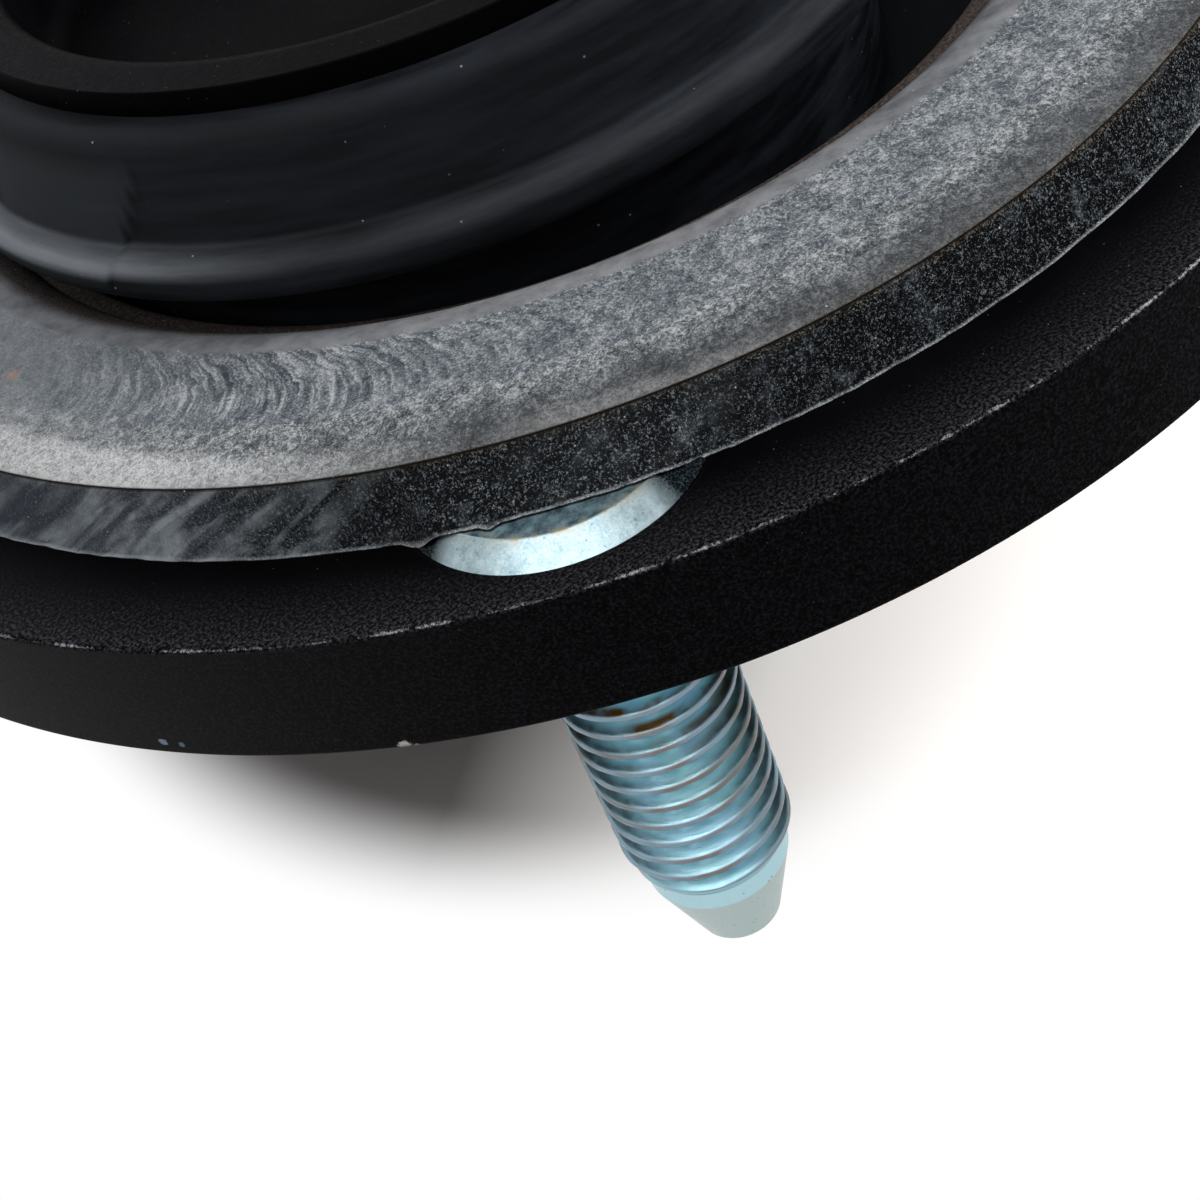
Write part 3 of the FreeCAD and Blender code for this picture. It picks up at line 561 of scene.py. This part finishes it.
# Bush shell: deep-drawn 1.5 mm steel cup pressed into the plate's bore, with its flange flush in the
# plate. Below the plate it is a little slimmer, to centre in the car body. Same black electrocoat.
SHELL_WALL = 33.2
SHELL_DEPTH = 12.0
SHELL_FLOOR = SHELL_SHEET - SHELL_DEPTH
SHELL_MOUTH = 22.0
NECK_STEP = 0.5
NECK_TOP = -0.5 - NECK_STEP
NECK_WALL = SHELL_WALL - NECK_STEP
shell_line = outline([
    (FLANGE_RADIUS, PLATE_TOP - SHELL_SHEET, 0), (FLANGE_RADIUS, PLATE_TOP, 0.05), (SHELL_WALL, PLATE_TOP, 0.8),
    (SHELL_WALL, -0.5, 0.2), (NECK_WALL, NECK_TOP, 0.2), (NECK_WALL, SHELL_FLOOR, 1.5),
    (SHELL_MOUTH, SHELL_FLOOR, 0.1), (SHELL_MOUTH, -SHELL_DEPTH, 0.1),
    (SHELL_RADIUS - NECK_STEP, -SHELL_DEPTH, 3.0), (SHELL_RADIUS - NECK_STEP, NECK_TOP, 0.2),
    (SHELL_RADIUS, -0.5, 0.2), (SHELL_RADIUS, PLATE_TOP - SHELL_SHEET, 0)])
piece = build("drawn_shell", [turned(shell_line, around(pi / 3, 360))], black_coat)
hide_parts("bush_shell")


# Core: turned steel sleeve that the strut rod is bolted through, with a dished steel disc welded round
# it inside the rubber. Plain machined steel: the lathe's feed leaves rings 0.14 mm apart, and oil dulls it.
HUB_X = -4.0
SLEEVE_BORE = 6.1
SLEEVE_RADIUS = 11.0
SLEEVE_TOP = 14.5
SLEEVE_END = -20.0
SLEEVE_SEAT = -18.0
SEAT_RADIUS = 9.0
CHAMFER = 0.5
turned_steel, tree, mm, _ = start_material("turned plain steel")
lathe = add(tree, "Mapping", {"Vector": mm, "Location": (-HUB_X, 0, 0)})
apart = add(tree, "SeparateXYZ", {0: lathe})
reach = add(tree, "VectorMath", {0: add(tree, "CombineXYZ", {0: apart.outputs[0], 1: apart.outputs[1]})},
            operation="LENGTH")
tool = add(tree, "CombineXYZ", {0: reach.outputs["Value"], 1: apart.outputs[2]})
feed = add(tree, "TexNoise", {"Vector": tool, "Scale": 7.0, "Detail": 2.0})
oil = add(tree, "TexNoise", {"Vector": mm, "Scale": 0.2, "Detail": 4.0})
colour = add(tree, "ValToRGB", {0: oil}, stops=[(0.35, "#8b8a88"), (0.65, "#b3b2af")])
dull = add(tree, "MapRange", {0: oil, 1: 0.3, 2: 0.7, 3: 0.28, 4: 0.42})
relief = add(tree, "Bump", {"Height": feed, "Strength": 0.4, "Distance": 0.00005})
shader = add(tree, "BsdfPrincipled", {"Base Color": colour, "Metallic": 1.0, "Roughness": dull,
                                      "Normal": relief})
add(tree, "OutputMaterial", {"Surface": shader})
sleeve_line = outline([
    (SLEEVE_BORE + CHAMFER, SLEEVE_TOP, 0.05), (SLEEVE_BORE, SLEEVE_TOP - CHAMFER, 0.05),
    (SLEEVE_BORE, SLEEVE_END + CHAMFER, 0.05), (SLEEVE_BORE + CHAMFER, SLEEVE_END, 0.05),
    (SEAT_RADIUS, SLEEVE_END, 0.15), (SEAT_RADIUS, SLEEVE_SEAT, 0.05), (SLEEVE_RADIUS, SLEEVE_SEAT, 0.1),
    (SLEEVE_RADIUS, SLEEVE_TOP, 0.1)])
piece = build("turned_sleeve", [turned(sleeve_line, around(pi / 3, 180), HUB_X, 8.0)], turned_steel)
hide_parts("core_sleeve")
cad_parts["core_plate"].data.materials.clear()
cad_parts["core_plate"].data.materials.append(turned_steel)


# Bush rubber: moulded in one shot between shell and core. The rim and the skin on the shell are round
# the plate's centre, the hub with its bead stands off centre. Dull black, with a painted highlight along
# the bead at the left, broken by wipes, a step in the hub's skin where the mould parts with a line of
# painted shade along it, and brown dust on the rim.
SKIN_RADIUS = 32.4
RIM_RADIUS = 34.0
RIM_TOP = 9.8
WEB_TOP = -1.0
NECK_RADIUS = 26.0
BEAD_RADIUS = 30.2
BEAD_HEIGHT = 14.2
BEAD_ROUND = 1.5
HUB_TOP = 22.0
CUP_RADIUS = 25.0
CORE_FOOT = 7.5
CORE_SHEET = 3.0
CORE_DISH = 1.6
DISH_RADIUS = 17.0
CORE_RADIUS = 23.0
STEP_AT = radians(204.7)
STEP_LEAN = radians(1.05)
STEP_HEIGHT = 0.25
PAD_SPAN = radians(24)
RUBBER_MARKS = ("bead", "pad", "step_shade", "rim")
bead_out = BEAD_RADIUS + BEAD_ROUND
bead_under, bead_over = BEAD_HEIGHT - BEAD_ROUND, BEAD_HEIGHT + BEAD_ROUND
rubber_line = outline([
    (SLEEVE_RADIUS, -SHELL_DEPTH, 0), (SHELL_MOUTH, -SHELL_DEPTH, 0), (SHELL_MOUTH, SHELL_FLOOR, 0),
    (NECK_WALL, SHELL_FLOOR, 1.5), (NECK_WALL, NECK_TOP, 0.2), (SHELL_WALL, -0.5, 0.2),
    (SHELL_WALL, PLATE_TOP, 0.8), (RIM_RADIUS, PLATE_TOP, 0), (RIM_RADIUS, RIM_TOP, 0.25),
    (SKIN_RADIUS, RIM_TOP, 0.75), (SKIN_RADIUS, WEB_TOP, 3.0), (NECK_RADIUS, WEB_TOP, 1.2),
    (NECK_RADIUS, bead_under, 0.6), (bead_out, bead_under, 1.2), (bead_out, bead_over, 1.25),
    (BEAD_RADIUS - 0.2, bead_over, 0.35), (BEAD_RADIUS - 1.0, HUB_TOP, 1.2), (CUP_RADIUS, HUB_TOP, 0),
    (CUP_RADIUS, SLEEVE_TOP, 2.9), (SLEEVE_RADIUS, SLEEVE_TOP, 0), (SLEEVE_RADIUS, CORE_FOOT + CORE_SHEET, 0),
    (DISH_RADIUS, CORE_FOOT + CORE_SHEET, 0), (CORE_RADIUS, CORE_FOOT + CORE_SHEET + CORE_DISH, 0),
    (CORE_RADIUS, CORE_FOOT + CORE_DISH, 0), (DISH_RADIUS, CORE_FOOT, 0), (SLEEVE_RADIUS, CORE_FOOT, 0)],
    step=1.1)
radii, height = rubber_line[:, 0], rubber_line[:, 1]

# on_hub is 0 on the rim's round and 1 on the hub's; the web and the lower face lead from one to the other.
order = np.arange(len(rubber_line))
web = np.argmax((np.abs(height - WEB_TOP) < 1e-6) & (radii < SKIN_RADIUS - 1))
neck = np.argmax((radii < NECK_RADIUS + 1e-6) & (order > web))
mouth = np.argmax(radii > SHELL_MOUTH - 0.01)
on_hub = np.zeros(len(rubber_line))
on_hub[neck:] = 1.0
on_hub[web:neck] = np.linspace(0, 1, neck - web)
on_hub[:mouth] = np.linspace(1, 0, mouth)
angles = np.unique(np.round(np.r_[around(pi / 3, 300), np.linspace(radians(199), radians(211), 61)], 9))
a = angles[:, None]
rubber = turned(rubber_line, angles, wrap=30.0)
rubber["points"][..., 0] += HUB_X * on_hub

# The step: a pad a quarter of a millimetre proud, between the bead and the hub's top, that ends sharply
# at step_line and fades radii 24 degrees further on.
outer_wall = (order > neck + 3) & (radii > BEAD_RADIUS - 1.3) & (height > BEAD_HEIGHT - 1.2)
step_line = STEP_AT + (height - BEAD_HEIGHT) * STEP_LEAN
pad = np.clip((step_line - a) / radians(0.5), 0, 1) * np.clip((a - step_line + PAD_SPAN) / radians(4), 0, 1) \
    * np.clip(height - BEAD_HEIGHT + 0.6, 0, 1) * np.clip((HUB_TOP - 1.6 - height) / 0.8, 0, 1) * outer_wall
rubber["points"][..., 0] += STEP_HEIGHT * pad * np.cos(a)
rubber["points"][..., 1] += STEP_HEIGHT * pad * np.sin(a)
rubber["pad"] = pad
# A thin line of painted shade along the step's sharp end.
rubber["step_shade"] = 0.6 * near(a, step_line, radians(0.55)) * outer_wall \
    * np.clip(height - BEAD_HEIGHT - 1.2, 0, 1) * np.clip((HUB_TOP - 2.5 - height) / 2.0, 0, 1)
# The bead's top carries a painted highlight, strong at the left and faint elsewhere.
highlight_along_bead = 0.1 + 1.3 * near(a, radians(186), radians(46))
rubber["bead"] = near(height, BEAD_HEIGHT + 1.0, 0.8) * outer_wall * highlight_along_bead
rubber["rim"] = ((height > PLATE_TOP + 0.2) & (radii > SKIN_RADIUS - 0.1) & (order < neck)) * 1.0

# Moulded rubber takes the mould's dull skin: wipes run round it, its grain is 0.2 mm.
bush_rubber, tree, mm, marks = start_material("moulded bush rubber", RUBBER_MARKS)
wrap = add(tree, "Attribute", attribute_name="wrap").outputs["Vector"]
smear = add(tree, "TexNoise", {"Vector": add(tree, "Mapping", {"Vector": wrap, "Scale": (0.12, 0.12, 0.9)}),
                               "Scale": 1.0, "Detail": 4.0, "Roughness": 0.6})
fine = add(tree, "TexNoise", {"Vector": mm, "Scale": 4.5, "Detail": 4.0, "Roughness": 0.7})
wiped = add(tree, "MapRange", {0: smear, 1: 0.25, 2: 0.6, 3: 0.45, 4: 1.0})
# Painted highlight on the bead, broken by the wipes.
bead_highlight = add(tree, "Math", {0: marks["bead"], 1: wiped}, operation="MULTIPLY")
paler = add(tree, "Math", {0: marks["pad"], 1: 0.12}, operation="MULTIPLY")
brown = add(tree, "ValToRGB", {0: fine}, stops=[(0.40, "#1b1716"), (0.68, "#4a4340")])
grit = add(tree, "TexVoronoi", {"Vector": mm, "Scale": 1.1})
few = add(tree, "MapRange", {0: add(tree, "SeparateColor", {0: grit.outputs["Color"]}), 1: 0.80, 2: 0.95})
speck = add(tree, "Math", {0: few, 1: add(tree, "MapRange", {0: grit.outputs["Distance"], 1: 0.09, 2: 0.04})},
            operation="MULTIPLY")
away = add(tree, "VectorMath", {0: mm, 1: (-30.06, -12.42, 9.8)}, operation="DISTANCE").outputs["Value"]
rusty = add(tree, "MapRange", {0: away, 1: 0.28, 2: 0.16, 4: 0.8})
colour = add(tree, "ValToRGB", {0: smear}, stops=[(0.38, "#08090c"), (0.70, "#1b1e23")])
for share, tone in ((bead_highlight, "#777b80"), (paler, "#5d6369"), (marks["step_shade"], "#08080a"),
                    (marks["rim"], brown), (speck, "#8f9094"), (rusty, "#9a6a4a")):
    colour = add(tree, "Mix", {0: share, 6: colour, 7: tone}, data_type="RGBA")
dull = add(tree, "MapRange", {0: smear, 1: 0.3, 2: 0.7, 3: 0.62, 4: 0.8})
relief = add(tree, "Bump", {"Height": fine, "Strength": 0.4, "Distance": 0.00008})
shader = add(tree, "BsdfPrincipled", {"Base Color": colour, "Roughness": dull, "Normal": relief, "IOR": 1.5,
                                      "Specular IOR Level": 0.1})
add(tree, "OutputMaterial", {"Surface": shader})
piece = build("bonded_rubber", [rubber], bush_rubber, RUBBER_MARKS)
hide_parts("bush_rubber")


# Bump stop cup: pressed steel cup bonded in the top of the hub, flange on the rubber, hole for the rod.
# Black electrocoat as on the plate.
CUP_SHEET = 1.5
CUP_HOLE = 6.6
CUP_FLANGE = CUP_RADIUS + 2.2
cup_inner = CUP_RADIUS - CUP_SHEET
cup_line = outline([
    (CUP_HOLE, SLEEVE_TOP, 0.05), (CUP_RADIUS, SLEEVE_TOP, 3.0), (CUP_RADIUS, HUB_TOP, 0.05),
    (CUP_FLANGE, HUB_TOP, 0.05), (CUP_FLANGE, HUB_TOP + CUP_SHEET, 0.1), (cup_inner, HUB_TOP + CUP_SHEET, 1.4),
    (cup_inner, SLEEVE_TOP + CUP_SHEET, 1.5), (CUP_HOLE, SLEEVE_TOP + CUP_SHEET, 0.1)])
piece = build("pressed_cup", [turned(cup_line, around(pi / 3, 300), HUB_X, 20.0)], black_coat)
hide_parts("bump_stop_cup")


# Spring seat ring: rubber moulded on the plate and over the inner side of the stud heads, parted near the
# top of its wall. The spring has scuffed the flat in short arcs, the shoulder is chalky, whitest at the
# left where the bloom is partly a painted glare, and painted shade darkens the rest of its outer edge.
# The wall is smeared pale, and a thin flash lies at its foot, torn into a flap by the head, its edge
# carrying a painted highlight.
RING_BASE = 48.8
PARTING_RADIUS = 47.4
PARTING_HEIGHT = 11.5
SHOULDER_RADIUS = 44.2
RING_TOP = 12.2
FLAT_EDGE = 43.9
FLAT_RADIUS = 38.0
LIP_RADIUS = RIM_RADIUS
LIP_HEIGHT = 10.0
FALL_RUN = 4.0
FALL_DROP = 2.2
FLASH = 0.12
HEAD_COVER = 9.0
FOOT_SPREAD = 1.45
WORN_AT = radians(202)
SHOWN_STUD = radians(240)
WRAP_RADIUS = 41.0
RING_MARKS = ("flat", "shoulder", "parting", "seam", "flash", "wall", "bloom_and_glare", "smears", "swirl",
              "lip", "soft", "left", "shoulder_shade")
fall_share = np.linspace(0, 1, 14)[1:-1]
fall_radius = (FALL_RUN ** 2 + FALL_DROP ** 2) / (2 * FALL_DROP)
fall_x = FLAT_RADIUS - FALL_RUN * fall_share
fall = np.stack([fall_x, RING_TOP - fall_radius + np.sqrt(fall_radius ** 2 - (FLAT_RADIUS - fall_x) ** 2)], -1)
wall = outline([(RING_BASE + FLASH, PLATE_TOP, 0), (RING_BASE + FLASH + 0.02, PLATE_TOP + 0.09, 0.03),
                (RING_BASE - 0.06, PLATE_TOP + 0.15, 0.05),
                (PARTING_RADIUS + 0.07, PARTING_HEIGHT - 0.12, 0.04),
                (PARTING_RADIUS - 0.10, PARTING_HEIGHT, 0.04), (PARTING_RADIUS, PARTING_HEIGHT + 0.13, 0.05),
                (SHOULDER_RADIUS, RING_TOP, 2.0), (FLAT_RADIUS, RING_TOP, 0)], step=0.30, closed=False)
lip = outline([(LIP_RADIUS + 0.15, LIP_HEIGHT + 0.1, 0), (LIP_RADIUS, LIP_HEIGHT - 0.1, 0),
               (LIP_RADIUS, PLATE_TOP, 0), (RING_BASE + FLASH, PLATE_TOP, 0)], step=1.2, closed=False)
ring_line = np.concatenate([wall, fall, lip])
# The round has finer steps beside each stud head, finest at the one that shows.
fine_rounds = [np.linspace(radians(middle - 12), radians(middle + 12), steps)
               for middle, steps in ((240, 320), (360, 40), (120, 40))]
angles = np.unique(np.round(np.concatenate([around(pi / 3 + pi, 400), *fine_rounds]), 9))
ring = turned(ring_line, angles, wrap=WRAP_RADIUS)


def wander(x, seed, size, bands=5):
    """A smooth random line: a sum of sines of lengths size, size / 1.9 and so on, each 0.55 as high."""
    draw = np.random.default_rng(seed)
    total = np.zeros_like(x)
    for band in range(bands):
        turns = max(1, round(2 * pi * 50 / size * 1.9 ** band))
        total += np.sin(turns * x + draw.uniform(0, 2 * pi)) * 0.55 ** band
    return total


# Over a stud head the ring is lifted by the head's height and its foot spreads outwards. The flash at the
# foot wanders, with two flaps by the head that shows.
r, z, a = ring_line[None, :, 0], ring_line[None, :, 1], angles[:, None]
lift = np.zeros(np.broadcast(r, a).shape)
for stud_angle in STUD_ANGLES:
    off_stud = from_angle(a, stud_angle)
    from_head = np.hypot((r + 1.2) * np.cos(off_stud) - PITCH_RADIUS, (r + 1.2) * np.sin(off_stud))
    share = np.clip((HEAD_COVER - from_head) / 1.9, 0, 1)
    lift = np.maximum(lift, share * share * (3 - 2 * share))
foot = np.clip((PARTING_HEIGHT - z) / (PARTING_HEIGHT - PLATE_TOP), 0, 1) * (r > LIP_RADIUS - 0.1)
outer = np.clip((r - PARTING_RADIUS + 0.9) / 2.0, 0, 1)
under_ring = np.clip(1 - (z - PLATE_TOP) / 2.0, 0, 1)
on_wall, over_parting = r > PARTING_RADIUS - 1.4, z > PARTING_HEIGHT
rise = (HEAD_TOP + 0.05 - PLATE_TOP) * lift * np.where(on_wall, foot, under_ring)
by_head = from_angle(a, SHOWN_STUD)
flap = 0.55 * near(by_head, radians(-8.2), radians(1.7)) + 0.3 * near(by_head, radians(-3.6), radians(0.7))
uneven = wander(a, 3, 6.0) * 0.03 + wander(a, 5, 1.6, 3) * 0.018
edge_here = near(z, PLATE_TOP + 0.06, 0.16) * outer
radius = r + FOOT_SPREAD * lift * foot * outer + edge_here * (uneven + flap)
ring["points"] = np.stack([radius * np.cos(a), radius * np.sin(a), z + rise], -1)

# Marks of form: which part of the outline a point is on.
ring["flat"] = ((z > RING_TOP - 0.019) & (r > FLAT_RADIUS - 0.1)) * 1.0
ring["shoulder"] = ((z > PARTING_HEIGHT + 0.1) & (r > FLAT_EDGE - 0.3)) * 1.0
ring["wall"] = ((z < PARTING_HEIGHT) & on_wall) * 1.0
ring["parting"] = near(z, PARTING_HEIGHT, 0.13) * on_wall
ring["flash"] = near(z, PLATE_TOP + 0.08, 0.06) * (r > PARTING_RADIUS) \
    * np.clip(0.75 + 0.25 * wander(a, 15, 3.0, 4), 0.25, 1)

# Marks of wear: they centre on WORN_AT, at the left of the photo, and fade both ways. The painted shade on the
# outer shoulder goes the other way: none near WORN_AT, full further off.
off = from_angle(a, WORN_AT)
blotchy = np.clip(wander(a, 9, 60.0, 3) - 0.6, 0, 1)
bloom_edge = FLAT_EDGE + 0.7 + np.clip(off, 0, 1) * 2.2 - 0.12 * wander(a, 11, 5.0, 4)
shade_edge = FLAT_EDGE + 0.25 * wander(a, 21, 9.0, 5)
ring["seam"] = near(z, PARTING_HEIGHT, 0.32) * on_wall * np.clip(0.5 + 0.5 * np.sin(a - radians(190)), 0, 1)
lip_edge = LIP_RADIUS + 1.6 + 1.3 * near(off, radians(-10), radians(36))
ring["lip"] = np.clip((lip_edge - r) / 0.9, 0, 1) * (z < RING_TOP)
# Chalky bloom on the shoulder, whitest at the left, where it is partly a painted glare.
ring["bloom_and_glare"] = np.clip(near(off, 0.0, radians(36)) * 1.4 + 0.4 * blotchy, 0, 1) \
    * np.clip((r - bloom_edge) / 0.5, 0, 1) * over_parting
ring["smears"] = np.clip(near(off, radians(13), radians(19)) + 0.12 * blotchy, 0, 1)
ring["swirl"] = np.clip(0.12 + 0.9 * near(off, radians(17), radians(28)) + 0.3 * blotchy, 0, 1) \
    * np.clip((FLAT_EDGE - 0.1 - r) / 1.8, 0.2, 1)
ring["soft"] = 0.75 * near(off, radians(-12), radians(34))
ring["left"] = near(off, radians(-10), radians(34))
# Painted shade: the outer shoulder is painted darker away from WORN_AT.
ring["shoulder_shade"] = np.clip((r - shade_edge) / 2.4, 0, 1) * over_parting \
    * np.clip((np.abs(off) - radians(18)) / radians(18), 0, 1)

# Spring seat rubber, dull and dusty with bloom. The scuffs are arcs across the flat, made by turning the
# noise's place round the ring by an angle that grows with the square of the row, the way in from the flat's
# outer edge; the wall's smears lean the same way. Fibres are half a millimetre, drawn coarser than real.
FLAT_START = float(np.interp(-FLAT_EDGE, -wall[:, 0], ring["uv"][0, :len(wall), 1]))
ARC_BOW = 0.18 / WRAP_RADIUS
ARC_LEAN = 0.42 / WRAP_RADIUS
SMEAR_LEAN = -1.2 / WRAP_RADIUS
seat_rubber, tree, mm, marks = start_material("moulded seat rubber, scuffed", RING_MARKS)
wrap = add(tree, "Attribute", attribute_name="wrap").outputs["Vector"]
along = add(tree, "SeparateXYZ", {0: wrap}).outputs["Z"]
inwards = add(tree, "Math", {0: along, 1: FLAT_START}, operation="SUBTRACT")
mottle = add(tree, "TexNoise", {"Vector": mm, "Scale": 0.5, "Detail": 5.0, "Roughness": 0.65})
fibre = add(tree, "TexNoise", {"Vector": mm, "Scale": 2.2, "Detail": 6.0, "Roughness": 0.78, "Distortion": 0.9})
grain = add(tree, "TexNoise", {"Vector": mm, "Scale": 8.0, "Detail": 2.0, "Roughness": 0.8, "Distortion": 0.6})
astray = add(tree, "MapRange", {0: mottle, 1: 0.3, 2: 0.7, 3: -3.4, 4: -2.4})
row = add(tree, "Math", {0: inwards, 1: astray}, operation="ADD")
bow = add(tree, "Math", {0: row, 1: ARC_BOW, 2: ARC_LEAN}, operation="MULTIPLY_ADD")
bow = add(tree, "Math", {0: bow, 1: row}, operation="MULTIPLY")
bowed = add(tree, "VectorRotate", {"Vector": wrap, "Angle": bow}, rotation_type="Z_AXIS")
strokes = add(tree, "TexNoise", {"Vector": add(tree, "Mapping", {"Vector": bowed, "Scale": (2.3, 2.3, 0.32)}),
                                 "Scale": 1.0, "Detail": 4.0, "Roughness": 0.65, "Distortion": 0.4})
scuff = fibre
for share, other in ((marks["swirl"], strokes), (0.26, mottle), (0.32, grain), (marks["soft"], 0.545)):
    scuff = add(tree, "Mix", {0: share, 2: scuff, 3: other}, data_type="FLOAT")
scuffed = add(tree, "ValToRGB", {0: scuff}, stops=[
    (0.42, "#2f343a"), (0.50, "#585d62"), (0.60, "#9a9da0")])
smooth_band = add(tree, "ValToRGB", {0: mottle}, stops=[(0.32, "#525357"), (0.62, "#727376")])
shoulder_tone = add(tree, "ValToRGB", {0: scuff}, stops=[
    (0.43, "#303337"), (0.50, "#5f6265"), (0.59, "#a1a4a6")])
# The shoulder's painted shade, at three quarters.
shoulder_shade_share = add(tree, "Math", {0: marks["shoulder_shade"], 1: 0.75}, operation="MULTIPLY")
speckle = add(tree, "Mix", {0: 0.5, 2: fibre, 3: grain}, data_type="FLOAT")
chalk = add(tree, "ValToRGB", {0: speckle}, stops=[(0.40, "#6f7274"), (0.58, "#b4b5b5")])
brown = add(tree, "ValToRGB", {0: grain}, stops=[(0.42, "#151212"), (0.66, "#4a4340")])

# The wall: a near black rough skin, blotched, dusted at the left and wiped with pale smears.
lean = add(tree, "Math", {0: along, 1: SMEAR_LEAN}, operation="MULTIPLY")
leaning = add(tree, "VectorRotate", {"Vector": wrap, "Angle": lean}, rotation_type="Z_AXIS")
smear = add(tree, "TexNoise", {"Vector": add(tree, "Mapping", {"Vector": leaning, "Scale": (0.55, 0.55, 0.25)}),
                               "Scale": 1.0, "Detail": 3.0, "Roughness": 0.5, "Distortion": 0.9})
broken = add(tree, "MapRange", {0: mottle, 1: 0.40, 2: 0.58, 3: 0.25})
wiped = add(tree, "MapRange", {0: smear, 1: 0.46, 2: 0.64, 4: broken})
wiped = add(tree, "Math", {0: wiped, 1: marks["smears"]}, operation="MULTIPLY")
rough_skin = add(tree, "Mix", {0: 0.66, 2: fibre, 3: grain}, data_type="FLOAT")
wall_tone = add(tree, "ValToRGB", {0: rough_skin}, stops=[
    (0.49, "#020304"), (0.54, "#121417"), (0.62, "#666b6f")])
blotch = add(tree, "MapRange", {0: mottle, 1: 0.54, 2: 0.66, 4: 0.5})
smeared = add(tree, "Math", {0: marks["smears"], 1: 0.45}, operation="MULTIPLY")
blotch = add(tree, "Math", {0: blotch, 1: smeared}, operation="MAXIMUM")
pale = add(tree, "ValToRGB", {0: rough_skin}, stops=[(0.42, "#1c2127"), (0.60, "#62686e")])
dusted = add(tree, "ValToRGB", {0: smear}, stops=[(0.36, "#424850"), (0.64, "#83898f")])
at_left = add(tree, "Math", {0: marks["left"], 1: 0.85}, operation="MULTIPLY")
for share, tone in ((blotch, pale), (at_left, dusted), (wiped, "#868c91")):
    wall_tone = add(tree, "Mix", {0: share, 6: wall_tone, 7: tone}, data_type="RGBA")

fluff = add(tree, "Math", {0: add(tree, "MapRange", {0: grain, 1: 0.50, 2: 0.62}), 1: marks["seam"]},
            operation="MULTIPLY")
# The flash's pale edge is a painted highlight, broken up by the grain.
flash_highlight = add(tree, "Math", {0: marks["flash"], 1: add(tree, "MapRange", {0: grain, 1: 0.38, 2: 0.56, 3: 0.35})},
           operation="MULTIPLY")
grit = add(tree, "TexVoronoi", {"Vector": mm, "Scale": 1.6})
few = add(tree, "MapRange", {0: add(tree, "SeparateColor", {0: grit.outputs["Color"]}), 1: 0.70, 2: 0.95})
speck = add(tree, "Math", {0: few, 1: add(tree, "MapRange", {0: grit.outputs["Distance"], 1: 0.10, 2: 0.04})},
            operation="MULTIPLY")
away = add(tree, "VectorMath", {0: mm, 1: (-39.75, -12.17, 12.2)}, operation="DISTANCE").outputs["Value"]
frayed = add(tree, "Math", {0: away, 1: add(tree, "MapRange", {0: grain, 1: 0.3, 2: 0.7, 3: 0.7, 4: 1.5})},
             operation="MULTIPLY")
rusty = add(tree, "MapRange", {0: frayed, 1: 0.60, 2: 0.15, 4: 0.5})
colour = smooth_band
for share, tone in (
    (marks["flat"], scuffed), (marks["shoulder"], shoulder_tone), (shoulder_shade_share, "#2a2c2f"),
    (marks["bloom_and_glare"], chalk), (marks["lip"], brown), (marks["wall"], wall_tone), (fluff, "#5e574a"),
    (marks["parting"], "#15110d"), (flash_highlight, "#92979b"), (speck, "#b9b3a8"),
    (rusty, "#a98266"),
):
    colour = add(tree, "Mix", {0: share, 6: colour, 7: tone}, data_type="RGBA")
relief = add(tree, "Bump", {"Height": rough_skin, "Strength": 0.6, "Distance": 0.00009})
shader = add(tree, "BsdfPrincipled", {"Base Color": colour, "Roughness": 0.78, "Normal": relief, "IOR": 1.5,
                                      "Specular IOR Level": 0.06})
add(tree, "OutputMaterial", {"Surface": shader})
piece = build("moulded_ring", [ring], seat_rubber, RING_MARKS)
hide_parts("spring_seat_ring")


# Rebound side: waisted rubber ring between the shell and a pressed steel washer on the sleeve's end.
# The washer's edge turns away from the rubber; it is zinc plated like the studs.
BUFFER_BORE = 11.3
BUFFER_RADIUS = 21.0
BUFFER_WAIST = 1.2
BUFFER_HALF = (-SHELL_DEPTH - SLEEVE_SEAT) / 2
WASHER_SHEET = 2.0
WASHER_BEND = 21.5
WASHER_RADIUS = 24.0
buffer_middle = SLEEVE_SEAT + BUFFER_HALF
waist = (BUFFER_HALF ** 2 + BUFFER_WAIST ** 2) / (2 * BUFFER_WAIST)
bulge_z = SLEEVE_SEAT + 2 * BUFFER_HALF * np.linspace(0, 1, 17)
bulge_r = BUFFER_RADIUS - BUFFER_WAIST + waist - np.sqrt(waist ** 2 - (bulge_z - buffer_middle) ** 2)
flat_r = np.linspace(BUFFER_BORE, BUFFER_RADIUS - 0.2, 14)
bore_z = np.linspace(-SHELL_DEPTH - 0.7, SLEEVE_SEAT, 9)
buffer_line = np.concatenate([
    np.stack([flat_r, np.full(14, SLEEVE_SEAT)], -1), np.stack([bulge_r, bulge_z], -1),
    np.stack([flat_r[::-1], np.full(14, -SHELL_DEPTH)], -1), np.stack([np.full(9, BUFFER_BORE), bore_z], -1)])
piece = build("moulded_buffer", [turned(buffer_line, around(pi / 3, 240), HUB_X, 20.0)], bush_rubber)
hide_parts("rebound_buffer")
washer_under, washer_turned = SLEEVE_SEAT - WASHER_SHEET, SLEEVE_SEAT - 1.0
washer_line = outline([
    (SEAT_RADIUS, washer_under, 0.1), (WASHER_BEND, washer_under, 0.6),
    (WASHER_RADIUS, washer_turned - WASHER_SHEET, 0.15), (WASHER_RADIUS, washer_turned, 0.15),
    (WASHER_BEND, SLEEVE_SEAT, 0.6), (SEAT_RADIUS, SLEEVE_SEAT, 0.05)])
piece = build("pressed_washer", [turned(washer_line, around(pi / 3, 300), HUB_X, 20.0)], zinc_plate)
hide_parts("rebound_washer")
